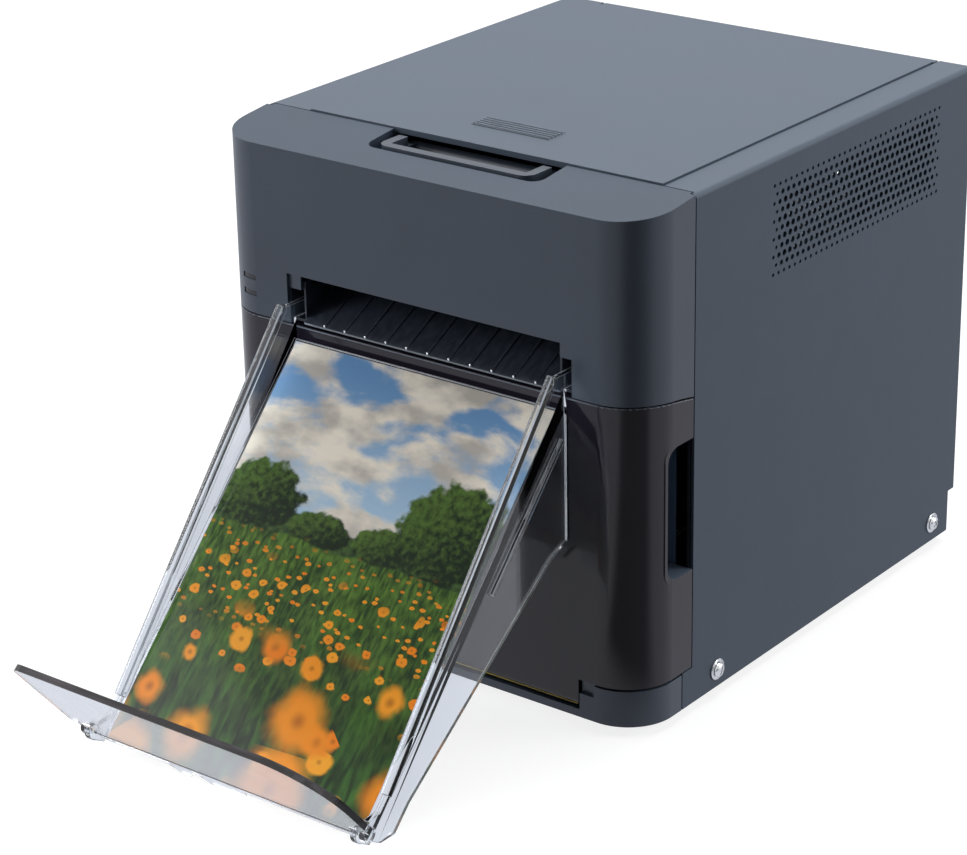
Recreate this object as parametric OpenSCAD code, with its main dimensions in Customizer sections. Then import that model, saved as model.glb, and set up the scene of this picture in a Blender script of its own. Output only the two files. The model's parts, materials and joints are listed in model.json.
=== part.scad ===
/* [Body] */
// Width across the side covers
body_w = 200; // [190:1:230]
// Depth from the front face to the rear edge of the side covers
body_d = 230; // [228:1:270]
// Height of the side covers
body_h = 201; // [198:1:230]
// Gap under the body, filled by the rubber feet
foot_h = 4; // [3:0.5:8]
// Plan radius of the two front corners
corner_r = 20; // [12:1:26]
// Wall of the moulded front pieces
shell_t = 2.4; // [1.8:0.1:3]
// Sheet thickness of the side and rear covers
sheet_t = 1.2; // [0.8:0.1:2]
// Visible gap between neighbouring covers
seam = 0.6; // [0.4:0.1:1]
// Depth of the moulded front pieces along the sides
front_d = 32.8; // [28:0.2:38]
// Height of the foot moulding at the front
chin_h = 14.6; // [13:0.2:20]
// Drop of the top face from the lid to the front edge
top_fall = 3.8; // [2:0.2:6]
// Step that shortens the sides at the bottom of the back
rear_step_d = 4.5; // [4:0.5:8]
// Height of that step
rear_step_h = 18; // [14:1:24]

/* [Lid] */
// Sideways offset of the lid, slot and print path from the middle
path_x = 2.5; // [0:0.5:4]
// Width of the lid
lid_w = 164; // [160:1:172]
// Gap from the front face to the lid
lid_y = 35; // [34.5:0.5:38]
// Length of the lid
lid_l = 189.6; // [186:0.2:191]
// How far the lid stands above the side covers
lid_proud = 0.8; // [0.2:0.1:1.2]
// Number of finger ridges on the lid
ridge_count = 5; // [3:1:8]

/* [Front door] */
// Height of the door's top edge above the underside of the body
door_top = 127.4; // [120:0.2:132]
// Distance of the door's pivot behind its front face
door_pivot_y = 4.2; // [4:0.1:6]
// Height of the door's pivot above the underside of the body
door_pivot_z = 7; // [6.5:0.1:8]
// Width of the door's hinge barrel
door_barrel_w = 138; // [120:1:150]
// Height of each finger pocket in the door's sides
grip_h = 52.7; // [40:0.1:60]
// Height of the finger pocket's lower edge above the underside
grip_z = 56; // [45:1:60]
// Width of the finger pocket along the side
grip_d = 16; // [12:0.5:18]

/* [Exit slot] */
// Clear width of the slot
slot_w = 122; // [118:1:126]
// Height of the slot above the door's top edge
slot_h = 20.5; // [16:0.5:24]
// Width of the socket at each end of the slot
socket_w = 6; // [5:0.5:8]
// Number of ribs on the exit ramp
rib_count = 11; // [7:1:15]

/* [Print tray] */
// Slope of the tray floor below the horizontal
tray_angle = 46.7; // [40:0.1:50]
// Length of the print that lies on the tray
print_l = 164; // [130:1:164]
// Width of that print
print_w = 121; // [100:1:121]
// Distance of the tray's toe in front of the body
toe_y = 115.5; // [112:0.5:125]
// Height of the tray's toe above the surface it stands on
toe_z = 7.1; // [6.5:0.1:9]
// Wall of the clear tray
tray_t = 2.6; // [2:0.1:3]
// Length of the stop flap
stop_l = 48; // [36:1:54]
// Lean of the stop flap above the horizontal
stop_angle = 50; // [44:1:56]

/* [Side vents] */
// Holes along a row
vent_cols = 33; // [21:2:41]
// Rows of holes
vent_rows = 11; // [7:2:13]
// Spacing of the holes along a row
vent_pitch = 3.75; // [3.4:0.05:4]
// Diameter of the inner holes
vent_d = 2.5; // [1.6:0.1:2.6]

/* [Print engine] */
// Radius of the platen roller
platen_r = 9; // [8:0.5:10]
// Radius of the paper roll
paper_r = 48; // [30:1:50]
// Module of the gears
gear_m = 0.8; // [0.8:0.1:0.8]
// Radial clearance of every shaft in its bore
shaft_gap = 0.05; // [0.02:0.01:0.1]

/* [Hidden] */
$fn = 48;

// heights, measured from the surface the printer stands on
base_z = foot_h;
top_z = base_z + body_h;
door_top_z = base_z + door_top;
chin_z = base_z + chin_h;
pivot_z = base_z + door_pivot_z;
side_x = body_w / 2;
in_x = side_x - sheet_t;          // inner face of a side cover

stop_t = tray_t;

// lid
lid_t = 2.4;
lid_top = top_z + lid_proud;
lid_skirt = 5;
lid_axis_y = lid_y + lid_l - 12;
lid_axis_z = lid_top - 6.8;
ridge_l = 36;
ridge_pitch = 2.1;
ridge_y = lid_y + 19.6;

// side seams: the chin's side is shorter than the door's
chin_d = 26.4;
cover_y = front_d + seam;

// door
door_arc = door_top - door_pivot_z;               // pivot to front top edge, vertical
door_r = sqrt(door_arc * door_arc + door_pivot_y * door_pivot_y);
barrel_r = door_pivot_y - 0.2;
grip_depth = 14;
door_gap = 1;                                     // gap over the chin
door_z = chin_z + door_gap;

// slot
slot_top = door_top_z + slot_h;
socket_top = slot_top - 6;
slot_x = slot_w / 2;
guide_y = 30;                                      // rear end of the exit ramp
guide_slope = tan(27.6);

// inner frames, as distances from the print path's middle
frame_in = 77;
frame_t = 1.5;
frame_out = frame_in + frame_t;
frame_y0 = 38;
frame_y1 = body_d - 17;
frame_z0 = base_z + 4;
frame_z1 = top_z - 11;

// shafts of the print engine: [y, z]
path_z = base_z + 146;
platen_at = [108, path_z - platen_r];
feed_r = 6;
feed_at = [84, path_z - feed_r];
pinch_r = 5;
pinch_at = [84, path_z + pinch_r + 0.3];
exit_r = 5;
exit_at = [41, path_z - exit_r];
star_at = [41, path_z + 5.3];
roll_at = [95, base_z + 62];
supply_at = [160, path_z + 10];
takeup_at = [66, path_z + 31];
head_pivot = [142, path_z + 36];
supply_r = 15;
takeup_r = 12;

// gears
platen_teeth = 30;
feed_teeth = 20;
feed_idler_teeth = 16;
idler_teeth = 34;
pinion_teeth = 14;
gear_t = 5;
gear_x = path_x - frame_out - 2;                   // inner face of the gear plane
function pitch_r(n) = gear_m * n / 2;
// place of an idler that meets two gears, on the lower side of their line
function dist2(a, b) = sqrt((a[0] - b[0]) ^ 2 + (a[1] - b[1]) ^ 2);
function heading(a, b) = atan2(b[1] - a[1], b[0] - a[0]);
function meet(a, ra, b, rb, side) =
  let (d = dist2(a, b), c = (d * d + ra * ra - rb * rb) / (2 * d * ra))
    a + ra * [cos(heading(a, b) + side * acos(c)), sin(heading(a, b) + side * acos(c))];
feed_idler_at = meet(platen_at, pitch_r(platen_teeth + feed_idler_teeth),
  feed_at, pitch_r(feed_teeth + feed_idler_teeth), 1);
idler_at = platen_at + pitch_r(platen_teeth + idler_teeth) * [cos(-14), sin(-14)];
motor_at = idler_at + pitch_r(idler_teeth + pinion_teeth) * [cos(-22), sin(-22)];
// a gear's angle so that its gaps meet the teeth of the gear it follows
function phase(a, na, pa, b, nb) =
  let (h = heading(a, b), u = (pa - h) * na / 360)
    h + 180 + (-u - 0.5) * 360 / nb;
platen_phase = 0;
feed_idler_phase = phase(platen_at, platen_teeth, platen_phase, feed_idler_at, feed_idler_teeth);
feed_phase = phase(feed_idler_at, feed_idler_teeth, feed_idler_phase, feed_at, feed_teeth);
idler_phase = phase(platen_at, platen_teeth, platen_phase, idler_at, idler_teeth);
pinion_phase = phase(idler_at, idler_teeth, idler_phase, motor_at, pinion_teeth);

// fan behind the front half of the right vent
fan_w = 45;
fan_t = 11;
fan_at = [118, base_z + 172];
fan_x = in_x - 1.8 - fan_t;

// vents
vent_row = vent_pitch * 0.92;
vent_at = [144.5, base_z + 173];

// side screws
screw_at = [[50, base_z + 7.6], [body_d - 18, base_z + 8.4]];

// ---------------------------------------------------------------- helpers
// everything is drawn with the front face at y = 0, then centred
module place() { translate([0, -mid_y, 0]) children(); }
module on_path() { translate([path_x, 0, 0]) children(); }
// outline in (y, z), extruded along X from x0 to x1
module along_x(x0, x1) { translate([x0, 0, 0]) rotate([90, 0, 90]) linear_extrude(x1 - x0) children(); }
// cylinder along X at [y, z]
module rod(at, r, x0, x1) { translate([x0, at[0], at[1]]) rotate([0, 90, 0]) cylinder(r = r, h = x1 - x0); }
module box(x0, x1, y0, y1, z0, z1) { translate([x0, y0, z0]) cube([x1 - x0, y1 - y0, z1 - z0]); }
module both() { children(); mirror([1, 0, 0]) children(); }
// plan outline of the moulded front with its two rounded corners
module front_plan(inset, depth) {
  r = corner_r - inset;
  intersection() {
    union() {
      translate([-side_x + corner_r, inset]) square([body_w - 2 * corner_r, depth]);
      translate([-side_x + inset, corner_r]) square([body_w - 2 * inset, depth]);
      for (s = [-1, 1]) translate([s * (side_x - corner_r), corner_r]) circle(r = r);
    }
    translate([-side_x, 0]) square([body_w, depth]);
  }
}
module gear(n, at, turn, t, bore) {
  p = PI * gear_m;
  rp = pitch_r(n);
  half = 0.2 * p;
  top = half - 0.9 * gear_m * tan(20);
  root = half + 1.2 * gear_m * tan(20);
  translate([gear_x - t, at[0], at[1]]) rotate([90, 0, 90]) linear_extrude(t) difference() {
    rotate(turn) union() {
      circle(r = rp - 1.2 * gear_m + 0.05, $fn = 2 * n);
      for (k = [0:n - 1]) rotate(k * 360 / n)
        polygon([[rp - 1.25 * gear_m, -root], [rp + 0.9 * gear_m, -top],
          [rp + 0.9 * gear_m, top], [rp - 1.25 * gear_m, root]]);
    }
    circle(r = bore);
  }
}

// ---------------------------------------------------------------- casing
module base_pan() {
  flange = 15;
  edge = in_x - seam;
  rear = body_d - rear_step_d;
  color("dimgray") difference() {
    union() {
      box(-edge, edge, chin_d + seam, rear, base_z, base_z + 1.6);
      both() box(edge - 1.6, edge, cover_y + 1, rear, base_z, base_z + flange);
      box(-edge, edge, rear - 1.6, rear, base_z, base_z + rear_step_h);
      both() for (p = screw_at) rod(p, 4, edge - 6, edge - 1);
    }
    both() for (p = screw_at) rod(p, 1.5 + shaft_gap, edge - 8, edge + 1);
    foot_places() translate([0, 0, base_z - 1]) cylinder(r = 3 + shaft_gap, h = 4);
  }
}
module foot_places() {
  for (x = [-1, 1], y = [44, body_d - 28]) translate([x * (side_x - 15), y, 0]) children();
}
module rubber_feet() {
  color("black") foot_places() {
    rotate_extrude() polygon([[0, 0], [6.4, 0], [7, 0.6], [7, foot_h], [0, foot_h]]);
    cylinder(r = 3, h = foot_h + 3);
  }
}
module front_chin() {
  barrel_x = door_barrel_w / 2;
  ear_x = barrel_x + seam;
  color("darkslategray") difference() {
    union() {
      translate([0, 0, base_z]) linear_extrude(chin_h) difference() {
        front_plan(0, chin_d);
        front_plan(shell_t, chin_d + 1);
      }
      translate([0, 0, base_z]) linear_extrude(1.6) front_plan(0.5, chin_d);
      // ears that carry the door's pins
      on_path() both() box(ear_x, ear_x + 8, 1, 12, base_z, pivot_z + 4);
    }
    // trough for the door's hinge barrel, open upwards
    on_path() {
      rod([door_pivot_y, pivot_z], barrel_r + 0.6, -barrel_x - seam, barrel_x + seam);
      box(-barrel_x - seam, barrel_x + seam, -1, 14, pivot_z, top_z);
      box(-barrel_x - seam, barrel_x + seam, -1, door_pivot_y, pivot_z - 3.8, top_z);
      rod([door_pivot_y, pivot_z], 1.8 + shaft_gap, -ear_x - 9, ear_x + 9);
      // small notch beside each end of the barrel
      both() box(barrel_x, barrel_x + 7, -1, 1.6, pivot_z + 3, top_z);
    }
  }
}
// side outline of the top moulding: sloping top face, front lip
module bezel_side(inset) {
  polygon([[inset, door_top_z - 20], [inset, top_z - top_fall - inset],
    [lid_y - seam + inset, top_z - inset], [lid_y - seam + inset, door_top_z - 20]]);
}
module bezel_shell(inset) {
  intersection() {
    translate([0, 0, base_z]) linear_extrude(body_h + 1) front_plan(inset, lid_y + 8);
    along_x(-side_x, side_x) bezel_side(inset);
  }
}
module front_bezel() {
  pocket_x = 40.5;
  pocket_y = 16.5;
  color("darkslategray") difference() {
    union() {
      difference() {
        bezel_shell(0);
        bezel_shell(shell_t);
      }
      // floor and walls of the handle's pocket
      on_path() difference() {
        box(-pocket_x - 2, pocket_x + 2, pocket_y - 2, lid_y - seam, top_z - 17, top_z - top_fall);
        box(-pocket_x, pocket_x, pocket_y, lid_y, top_z - 15, top_z + 1);
      }
    }
    // the sides stop at the cover's front edge below the top face
    both() box(side_x - 16, side_x + 1, front_d, lid_y + 1, 0, top_z - sheet_t - seam);
    both() box(side_x - 2 - seam, side_x + 1, front_d, lid_y + 1, 0, top_z + 1);
    // lower edge follows the swing of the door
    rod([door_pivot_y, pivot_z], door_r + seam, -side_x - 1, side_x + 1);
    // exit slot, its end sockets and the shallow rebates over them
    on_path() {
      box(-slot_x, slot_x, -1, 8, door_top_z - 9, slot_top);
      both() box(slot_x - 1, slot_x + socket_w, -1, 8, door_top_z - 9, socket_top);
      both() box(slot_x - 1, slot_x + socket_w, -1, 1.2, socket_top - 1, slot_top);
      // opening over the handle's pocket with rounded front corners
      translate([0, 0, top_z - 14]) linear_extrude(20) {
        translate([-pocket_x + 5, pocket_y]) square([2 * pocket_x - 10, 30]);
        translate([-pocket_x, pocket_y + 5]) square([2 * pocket_x, 30]);
        for (s = [-1, 1]) translate([s * (pocket_x - 5), pocket_y + 5]) circle(r = 5);
      }
    }
    for (z = light_z) box(light_x, light_x + light_w, -1, corner_r / 2, z, z + light_h);
  }
}
light_x = -88;
light_w = 7.7;
light_h = 2.2;
light_z = [base_z + 141.6, base_z + 135.1];
// a light pipe follows the rounded corner: a pane in the window, a flange behind it
module curved_pane(x0, x1, z0, z1, outer, inner) {
  intersection() {
    box(x0, x1, -1, corner_r, z0, z1);
    translate([0, 0, z0]) linear_extrude(z1 - z0) difference() {
      front_plan(outer, front_d);
      front_plan(inner, front_d + 1);
    }
  }
}
module indicator_lights() {
  gap = 0.1;
  color("darkgray") for (z = light_z) {
    curved_pane(light_x + gap, light_x + light_w - gap, z + gap, z + light_h - gap, 0.3, shell_t + 0.6);
    curved_pane(light_x - 1, light_x + light_w + 1, z - 1, z + light_h + 1, shell_t + 0.05, shell_t + 1.4);
  }
}
module exit_guide() {
  lip_z = door_top_z + 1.1;
  half = slot_x - 1;
  pitch = 2 * half / (rib_count + 1);
  rib_w = 0.7;
  rib_h = 0.6;
  rib_y = 1.5;
  back_z = lip_z + guide_y * guide_slope;
  color("black") on_path() {
    along_x(-half, half) polygon([[0.9, lip_z], [0.9, lip_z + 0.6], [guide_y, back_z + 0.1],
      [guide_y, back_z - 2.4], [4, lip_z]]);
    // low ribs that the print slides out on
    for (k = [1:rib_count]) translate([-half + k * pitch, 0, 0])
      along_x(-rib_w / 2, rib_w / 2) polygon([[rib_y, lip_z + 0.4], [rib_y, lip_z + 0.6 + rib_h],
        [guide_y, back_z + 0.1 + rib_h], [guide_y, back_z]]);
    // sockets that take the tray's pegs
    both() difference() {
      box(half, half + 8, shell_t + 0.3, 14, lip_z, socket_top + 1);
      box(half + 0.8, half + 7.2, 0, 13, lip_z + 1, socket_top);
    }
    both() box(half - 0.1, half + 12, shell_t + 0.3, 6, socket_top + 0.9, socket_top + 3);
  }
}
module release_handle() {
  pivot = [lid_y + 4, top_z - 8];
  bar = [19.8, top_z - 2.6];
  arm_x = 33.5;
  r = 5;
  color("darkslategray") on_path() difference() {
    union() {
    // flat loop bar with two rounded corners, bent ends running back under the lid
    translate([0, 0, bar[1] - 1.9]) linear_extrude(3.6) difference() {
      union() {
        translate([-arm_x - 2 + r, bar[0] - 2]) square([2 * arm_x + 4 - 2 * r, 14]);
        translate([-arm_x - 2, bar[0] - 2 + r]) square([2 * arm_x + 4, 14 - r]);
        for (s = [-1, 1]) translate([s * (arm_x + 2 - r), bar[0] - 2 + r]) circle(r = r);
      }
      translate([-arm_x + 2, bar[0] + 2]) square([2 * arm_x - 4, 20]);
    }
    both() along_x(arm_x - 2, arm_x + 2) polygon([[bar[0] + 9.6, bar[1] - 1.9], [bar[0] + 9.6, bar[1] + 1.7],
      [bar[0] + 11.8, bar[1] - 2], [pivot[0] + 2, pivot[1] + 2.6], [pivot[0] + 2, pivot[1] - 2],
      [pivot[0] - 2, pivot[1] - 2]]);
      rod(pivot, 3, -arm_x - 2, arm_x + 2);
    }
    rod(pivot, 2.02, -arm_x - 3, arm_x + 3);
  }
}
module latch_shaft() {
  pivot = [lid_y + 4, top_z - 8];
  color("silver") on_path() rod(pivot, 2, -frame_in - 1, frame_in + 1);
}
// hooks drawn just clear of the lid's strikers
module latch_hooks() {
  pivot = [lid_y + 4, top_z - 8];
  color("silver") on_path() both() difference() {
    union() {
      rod(pivot, 3.6, 60, 64);
      along_x(60, 64) translate(pivot) polygon([[-2.4, 0], [-2, -8.4], [3.4, -9.4], [3.8, -8.2], [1.2, -6.4], [2.4, 0]]);
    }
    rod(pivot, 2.02, 59, 65);
  }
}
module lid() {
  half = lid_w / 2;
  rear = lid_y + lid_l;
  skirt_z = lid_top - lid_t - lid_skirt;
  color("slategray") on_path() difference() {
    union() {
      box(-half, half, lid_y, rear, lid_top - lid_t, lid_top);
      // side skirts and inner ribs
      both() box(half - 2, half, lid_y + 6, lid_axis_y - 12, skirt_z, lid_top - lid_t + 0.1);
      for (x = [-40, 0, 40]) box(x - 0.8, x + 0.8, lid_y + 14, rear - 14, lid_top - lid_t - 2.6, lid_top - lid_t + 0.1);
      box(-half + 4, half - 4, lid_y + 14, lid_y + 15.6, lid_top - lid_t - 2.6, lid_top - lid_t + 0.1);
      // finger ridges
      for (k = [0:ridge_count - 1]) translate([0, ridge_y + k * ridge_pitch, 0])
        along_x(-ridge_l / 2, ridge_l / 2) translate([0, lid_top - 0.1])
          polygon([[-0.6, 0], [-0.35, 0.8], [0.35, 0.8], [0.6, 0]]);
      // strikers for the latch hooks
      both() along_x(60.4, 63.6) translate([lid_y + 4, top_z - 8]) polygon([[7.4, lid_top - lid_t + 0.1 - top_z + 8],
        [7.4, -8.6], [5, -10], [5, -12], [10, -12], [10, lid_top - lid_t + 0.1 - top_z + 8]]);
      // hinge lugs
      both() along_x(68, 73) union() {
        translate([lid_axis_y, lid_axis_z]) circle(r = 4.2);
        translate([lid_axis_y - 4.2, lid_axis_z]) square([8.4, lid_top - lid_t + 0.1 - lid_axis_z]);
      }
    }
    rod([lid_axis_y, lid_axis_z], 2 + shaft_gap, -80, 80);
  }
}
module lid_hinge_pins() {
  color("silver") on_path() both() {
    rod([lid_axis_y, lid_axis_z], 2, 67, frame_in + 1);
    rod([lid_axis_y, lid_axis_z], 3, 74, frame_in - 0.02);
  }
}
module vent_holes(x0, x1) {
  for (r = [0:vent_rows - 1], c = [0:vent_cols - 1 - (r % 2)]) {
    edge = min(r, vent_rows - 1 - r, c, vent_cols - 1 - (r % 2) - c);
    d = edge == 0 ? vent_d * 0.6 : (edge == 1 ? vent_d * 0.84 : vent_d);
    rod([vent_at[0] + (c - (vent_cols - 1) / 2 + (r % 2) / 2) * vent_pitch,
      vent_at[1] + (r - (vent_rows - 1) / 2) * vent_row], d / 2, x0, x1, $fn = 16);
  }
}
// sheet cover with a bent top flange that reaches the lid
module side_cover(flange_w) {
  bend = 2;
  difference() {
    translate([0, body_d, 0]) rotate([90, 0, 0]) linear_extrude(body_d - chin_d - seam) difference() {
      union() {
        translate([side_x - flange_w, top_z - 8]) square([flange_w - bend, 8]);
        translate([side_x - 8, base_z]) square([8, body_h - bend]);
        translate([side_x - bend, top_z - bend]) circle(r = bend);
        translate([side_x - 8, top_z - 8]) square([8 - bend, 8]);
      }
      translate([side_x - flange_w - 1, base_z - 1]) square([flange_w + 1 - sheet_t, body_h + 1 - bend]);
      translate([side_x - flange_w - 1, base_z]) square([flange_w + 1 - bend, body_h - sheet_t]);
      translate([side_x - bend, top_z - bend]) circle(r = bend - sheet_t);
    }
    // front: short beside the door, longer beside the chin
    box(0, side_x + 1, 0, cover_y, chin_z + 0.4, top_z + 1);
    box(0, side_x - 0.001 - bend, 0, lid_y, base_z - 1, top_z + 1);
    // rear step
    box(0, side_x + 1, body_d - rear_step_d, body_d + 1, base_z - 1, base_z + rear_step_h);
    vent_holes(side_x - 5, side_x + 1);
    for (p = screw_at) rod(p, 2.2, side_x - 3, side_x + 1);
  }
}
module right_side_cover() {
  color("slategray") side_cover(side_x - (path_x + lid_w / 2) - seam);
}
module left_side_cover() {
  color("slategray") mirror([1, 0, 0]) side_cover(side_x + (path_x - lid_w / 2) - seam);
}
module side_screws() {
  color("silver") both() for (p = screw_at) difference() {
    union() {
      rod(p, 1.5, in_x - 7, side_x + 0.9);
      translate([side_x + 0.8, p[0], p[1]]) rotate([0, 90, 0]) rotate_extrude()
        polygon([[0, 0], [2.9, 0], [2.9, 0.7], [2.1, 1.5], [0, 1.7]]);
    }
    translate([side_x + 1.4, p[0], p[1]]) {
      cube([3, 0.7, 3], center = true);
      cube([3, 3, 0.7], center = true);
    }
  }
}
module side_washers() {
  color("silver") both() for (p = screw_at) difference() {
    rod(p, 4.3, side_x + 0.02, side_x + 0.78);
    rod(p, 1.5 + shaft_gap, side_x - 1, side_x + 2);
  }
}
rear_y = body_d - 2.2;                    // outer face of the rear cover
inlet_at = [62, base_z + 42];
port_at = [-46, base_z + 40];
switch_at = [24, base_z + 42];
rear_screw_at = [for (x = [-88, 88], z = [30, 190]) [x, base_z + z]];
module rear_hole(at, w, h) { box(at[0] - w / 2, at[0] + w / 2, rear_y - 6, rear_y + 2, at[1] - h / 2, at[1] + h / 2); }
module rear_cover() {
  edge = in_x - 0.3;
  flange_y = lid_y + lid_l + 2;
  color("slategray") difference() {
    union() {
      box(-edge, edge, rear_y - sheet_t, rear_y, base_z + rear_step_h + 0.4, top_z - sheet_t - 0.2);
      // narrow top strip behind the lid
      on_path() box(-lid_w / 2 + 0.3, lid_w / 2 - 0.3, flange_y, body_d, top_z - sheet_t, top_z);
      on_path() box(-lid_w / 2 + 0.3, lid_w / 2 - 0.3, rear_y - sheet_t, rear_y, top_z - 3, top_z);
      box(-edge, edge, body_d - rear_step_d + 0.2, rear_y, base_z + rear_step_h + 0.4, base_z + rear_step_h + 0.4 + sheet_t);
    }
    rear_hole(inlet_at, 27.4, 19.9);
    rear_hole(port_at, 12.6, 11.4);
    rear_hole(switch_at, 14.4, 21.4);
    // exhaust slots
    for (k = [0:8], s = [-1, 1]) rear_hole([s * 34, base_z + 120 + k * 7], 52, 2.6);
    for (p = rear_screw_at) translate([p[0], rear_y + 1, p[1]]) rotate([90, 0, 0]) cylinder(r = 1.7, h = 6);
  }
}
module rear_screws() {
  color("silver") for (p = rear_screw_at) translate([p[0], rear_y, p[1]]) rotate([-90, 0, 0]) difference() {
    union() {
      translate([0, 0, -7]) cylinder(r = 1.5, h = 7.1);
      rotate_extrude() polygon([[0, 0.02], [2.8, 0.02], [2.8, 0.6], [2, 1.4], [0, 1.6]]);
    }
    translate([0, 0, 1.4]) {
      cube([0.7, 3, 2], center = true);
      cube([3, 0.7, 2], center = true);
    }
  }
}
module power_inlet() {
  w = 27;
  h = 19.5;
  color("black") translate([inlet_at[0], rear_y, inlet_at[1]]) {
    difference() {
      box(-w / 2, w / 2, -16, 0.8, -h / 2, h / 2);
      box(-w / 2 + 1.8, w / 2 - 1.8, -14, 1, -h / 2 + 1.8, h / 2 - 1.8);
    }
    box(-w / 2 - 2, w / 2 + 2, -sheet_t - 1.9, -sheet_t - 0.05, -h / 2 - 2, h / 2 + 2 - 0.02);
    for (p = [[-7, -2], [7, -2], [0, 3]]) box(p[0] - 1, p[0] + 1, -14.5, -3, p[1] - 2.2, p[1] + 2.2);
  }
}
module data_port() {
  w = 12.2;
  h = 11;
  color("silver") translate([port_at[0], rear_y, port_at[1]]) {
    difference() {
      box(-w / 2, w / 2, -14, 0.5, -h / 2, h / 2);
      box(-w / 2 + 0.8, w / 2 - 0.8, -12, 1, -h / 2 + 0.8, h / 2 - 0.8);
    }
    box(-2.8, 2.8, -12.5, -2, -1.6, 1.6);
  }
}
// housing with the pin that the rocker tips on
module switch_housing() {
  w = 14;
  h = 21;
  color("dimgray") translate([switch_at[0], rear_y, switch_at[1]]) {
    difference() {
      union() {
        box(-w / 2, w / 2, -13, 0.8, -h / 2, h / 2);
        box(-w / 2 - 1.6, w / 2 + 1.6, 0.05, 0.8, -h / 2 - 1.6, h / 2 + 1.6);
      }
      box(-w / 2 + 1, w / 2 - 1, -10, 1, -h / 2 + 1, h / 2 - 1);
    }
    translate([-w / 2, -3.6, 0]) rotate([0, 90, 0]) cylinder(r = 1.2, h = w);
  }
}
module power_switch() {
  color("black") translate([switch_at[0], rear_y - 3.6, switch_at[1]]) difference() {
    along_x(-5.7, 5.7) polygon([[-2, -6.5], [3, -8.6], [4.6, -7.6], [3.2, 0], [5.6, 7.8], [4, 8.4], [-2, 6.5]]);
    rod([0, 0], 1.2 + shaft_gap, -7, 7);
  }
}
module fan_frame() {
  color("black") difference() {
    box(fan_x, fan_x + fan_t, fan_at[0] - fan_w / 2, fan_at[0] + fan_w / 2,
      fan_at[1] - fan_w / 2, fan_at[1] + fan_w / 2);
    difference() {
      rod(fan_at, 21.4, fan_x - 1, fan_x + fan_t + 1);
      // motor cup and its struts stay
      rod(fan_at, 9, fan_x - 2, fan_x + 2);
      translate([fan_x + 1, fan_at[0], fan_at[1]]) for (a = [45:90:315]) rotate([a, 0, 0])
        translate([0, 0, 15]) cube([2, 2.4, 30], center = true);
    }
    rod(fan_at, 1.5 + shaft_gap, fan_x - 1, fan_x + 3);
    fan_corners() rod([0, 0], 2, fan_x - 1, fan_x + fan_t + 1);
  }
}
module fan_corners() {
  for (s = [-1, 1], t = [-1, 1]) translate([0, fan_at[0] + s * (fan_w / 2 - 4), fan_at[1] + t * (fan_w / 2 - 4)]) children();
}
module fan_rotor() {
  color("dimgray") union() {
    rod(fan_at, 9, fan_x + 2.6, fan_x + fan_t - 0.6);
    rod(fan_at, 1.5, fan_x, fan_x + 3);
    translate([fan_x + 2.8, fan_at[0], fan_at[1]]) for (a = [0:360 / 7:359]) rotate([a, 0, 0])
      translate([0, 0, 8]) rotate([0, 0, 38]) translate([1.5, -0.6, 0]) cube([7, 1.2, 12.4]);
  }
}
module fan_screws() {
  color("silver") fan_corners() {
    rod([0, 0], 1.6, path_x + frame_in, fan_x + fan_t + 0.02);
    rod([0, 0], 3, fan_x + fan_t + 0.02, fan_x + fan_t + 1.5);
    rod([0, 0], 2.6, path_x + frame_out + 0.02, fan_x - 0.02);
  }
}

// ---------------------------------------------------------------- inner frame
// the rear tower is rounded so that the lid clears it
module frame_outline() {
  difference() {
    union() {
      translate([frame_y0, frame_z0]) square([frame_y1 - frame_y0, frame_z1 - frame_z0]);
      translate([lid_axis_y, lid_axis_z]) circle(r = 4.2);
      translate([lid_axis_y - 14, frame_z1 - 1]) square([14, lid_axis_z - frame_z1 + 4]);
    }
    // front upper corner clears the bezel
    translate([frame_y0 - 1, frame_z1 - 2]) square([5, 20]);
    // slot that the paper roll's shaft slides in through
    translate([0, roll_at[1] - 4 - shaft_gap]) square([roll_at[0], 8 + 2 * shaft_gap]);
    translate(roll_at) circle(r = 4 + shaft_gap);
    // lightening windows
    translate([56, base_z + 96]) square([20, 26]);
    translate([122, base_z + 92]) square([14, 20]);
    translate([170, base_z + 80]) square([30, 46]);
    for (s = [[platen_at, 3], [feed_at, 3], [pinch_at, 2.5], [exit_at, 2.5], [star_at, 2],
      [supply_at, 3], [takeup_at, 3]]) translate(s[0]) circle(r = s[1] + shaft_gap);
  }
}
module plain_frame(x0, x1, side) {
  along_x(x0, x1) frame_outline();
  // foot flange that stands on the pan
  mid = (x0 + x1) / 2;
  box(mid - (side < 0 ? 0.5 : 9), mid + (side < 0 ? 9 : 0.5), frame_y0 + 12, frame_y1 - 4, base_z + 1.62, base_z + 3.2);
  box(x0, x1, frame_y0 + 12, frame_y1 - 4, base_z + 1.62, frame_z0 + 1);
}
module frame_bores(x0, x1) {
  rod([lid_y + 4, top_z - 8], 2 + shaft_gap, x0, x1);
  rod([lid_axis_y, lid_axis_z], 2.02, x0, x1);
  rod(head_pivot, 2.02, x0, x1);
  for (p = rod_at) rod(p, 2.52, x0, x1);
}
rod_at = [[50, base_z + 130], [198, base_z + 150], [196, base_z + 66]];
module left_frame() {
  color("gray") difference() {
    union() {
      plain_frame(path_x - frame_out, path_x - frame_in, -1);
      // plate that holds the motor and its idlers' stubs
      rod(idler_at, 2, gear_x - gear_t - 1, path_x - frame_in);
      rod(feed_idler_at, 2, gear_x - gear_t - 1, path_x - frame_in);
    }
    frame_bores(path_x - frame_out - 1, path_x - frame_in + 1);
    rod(motor_at, 3.5, path_x - frame_out - 1, path_x - frame_in + 1);
  }
}
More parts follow.
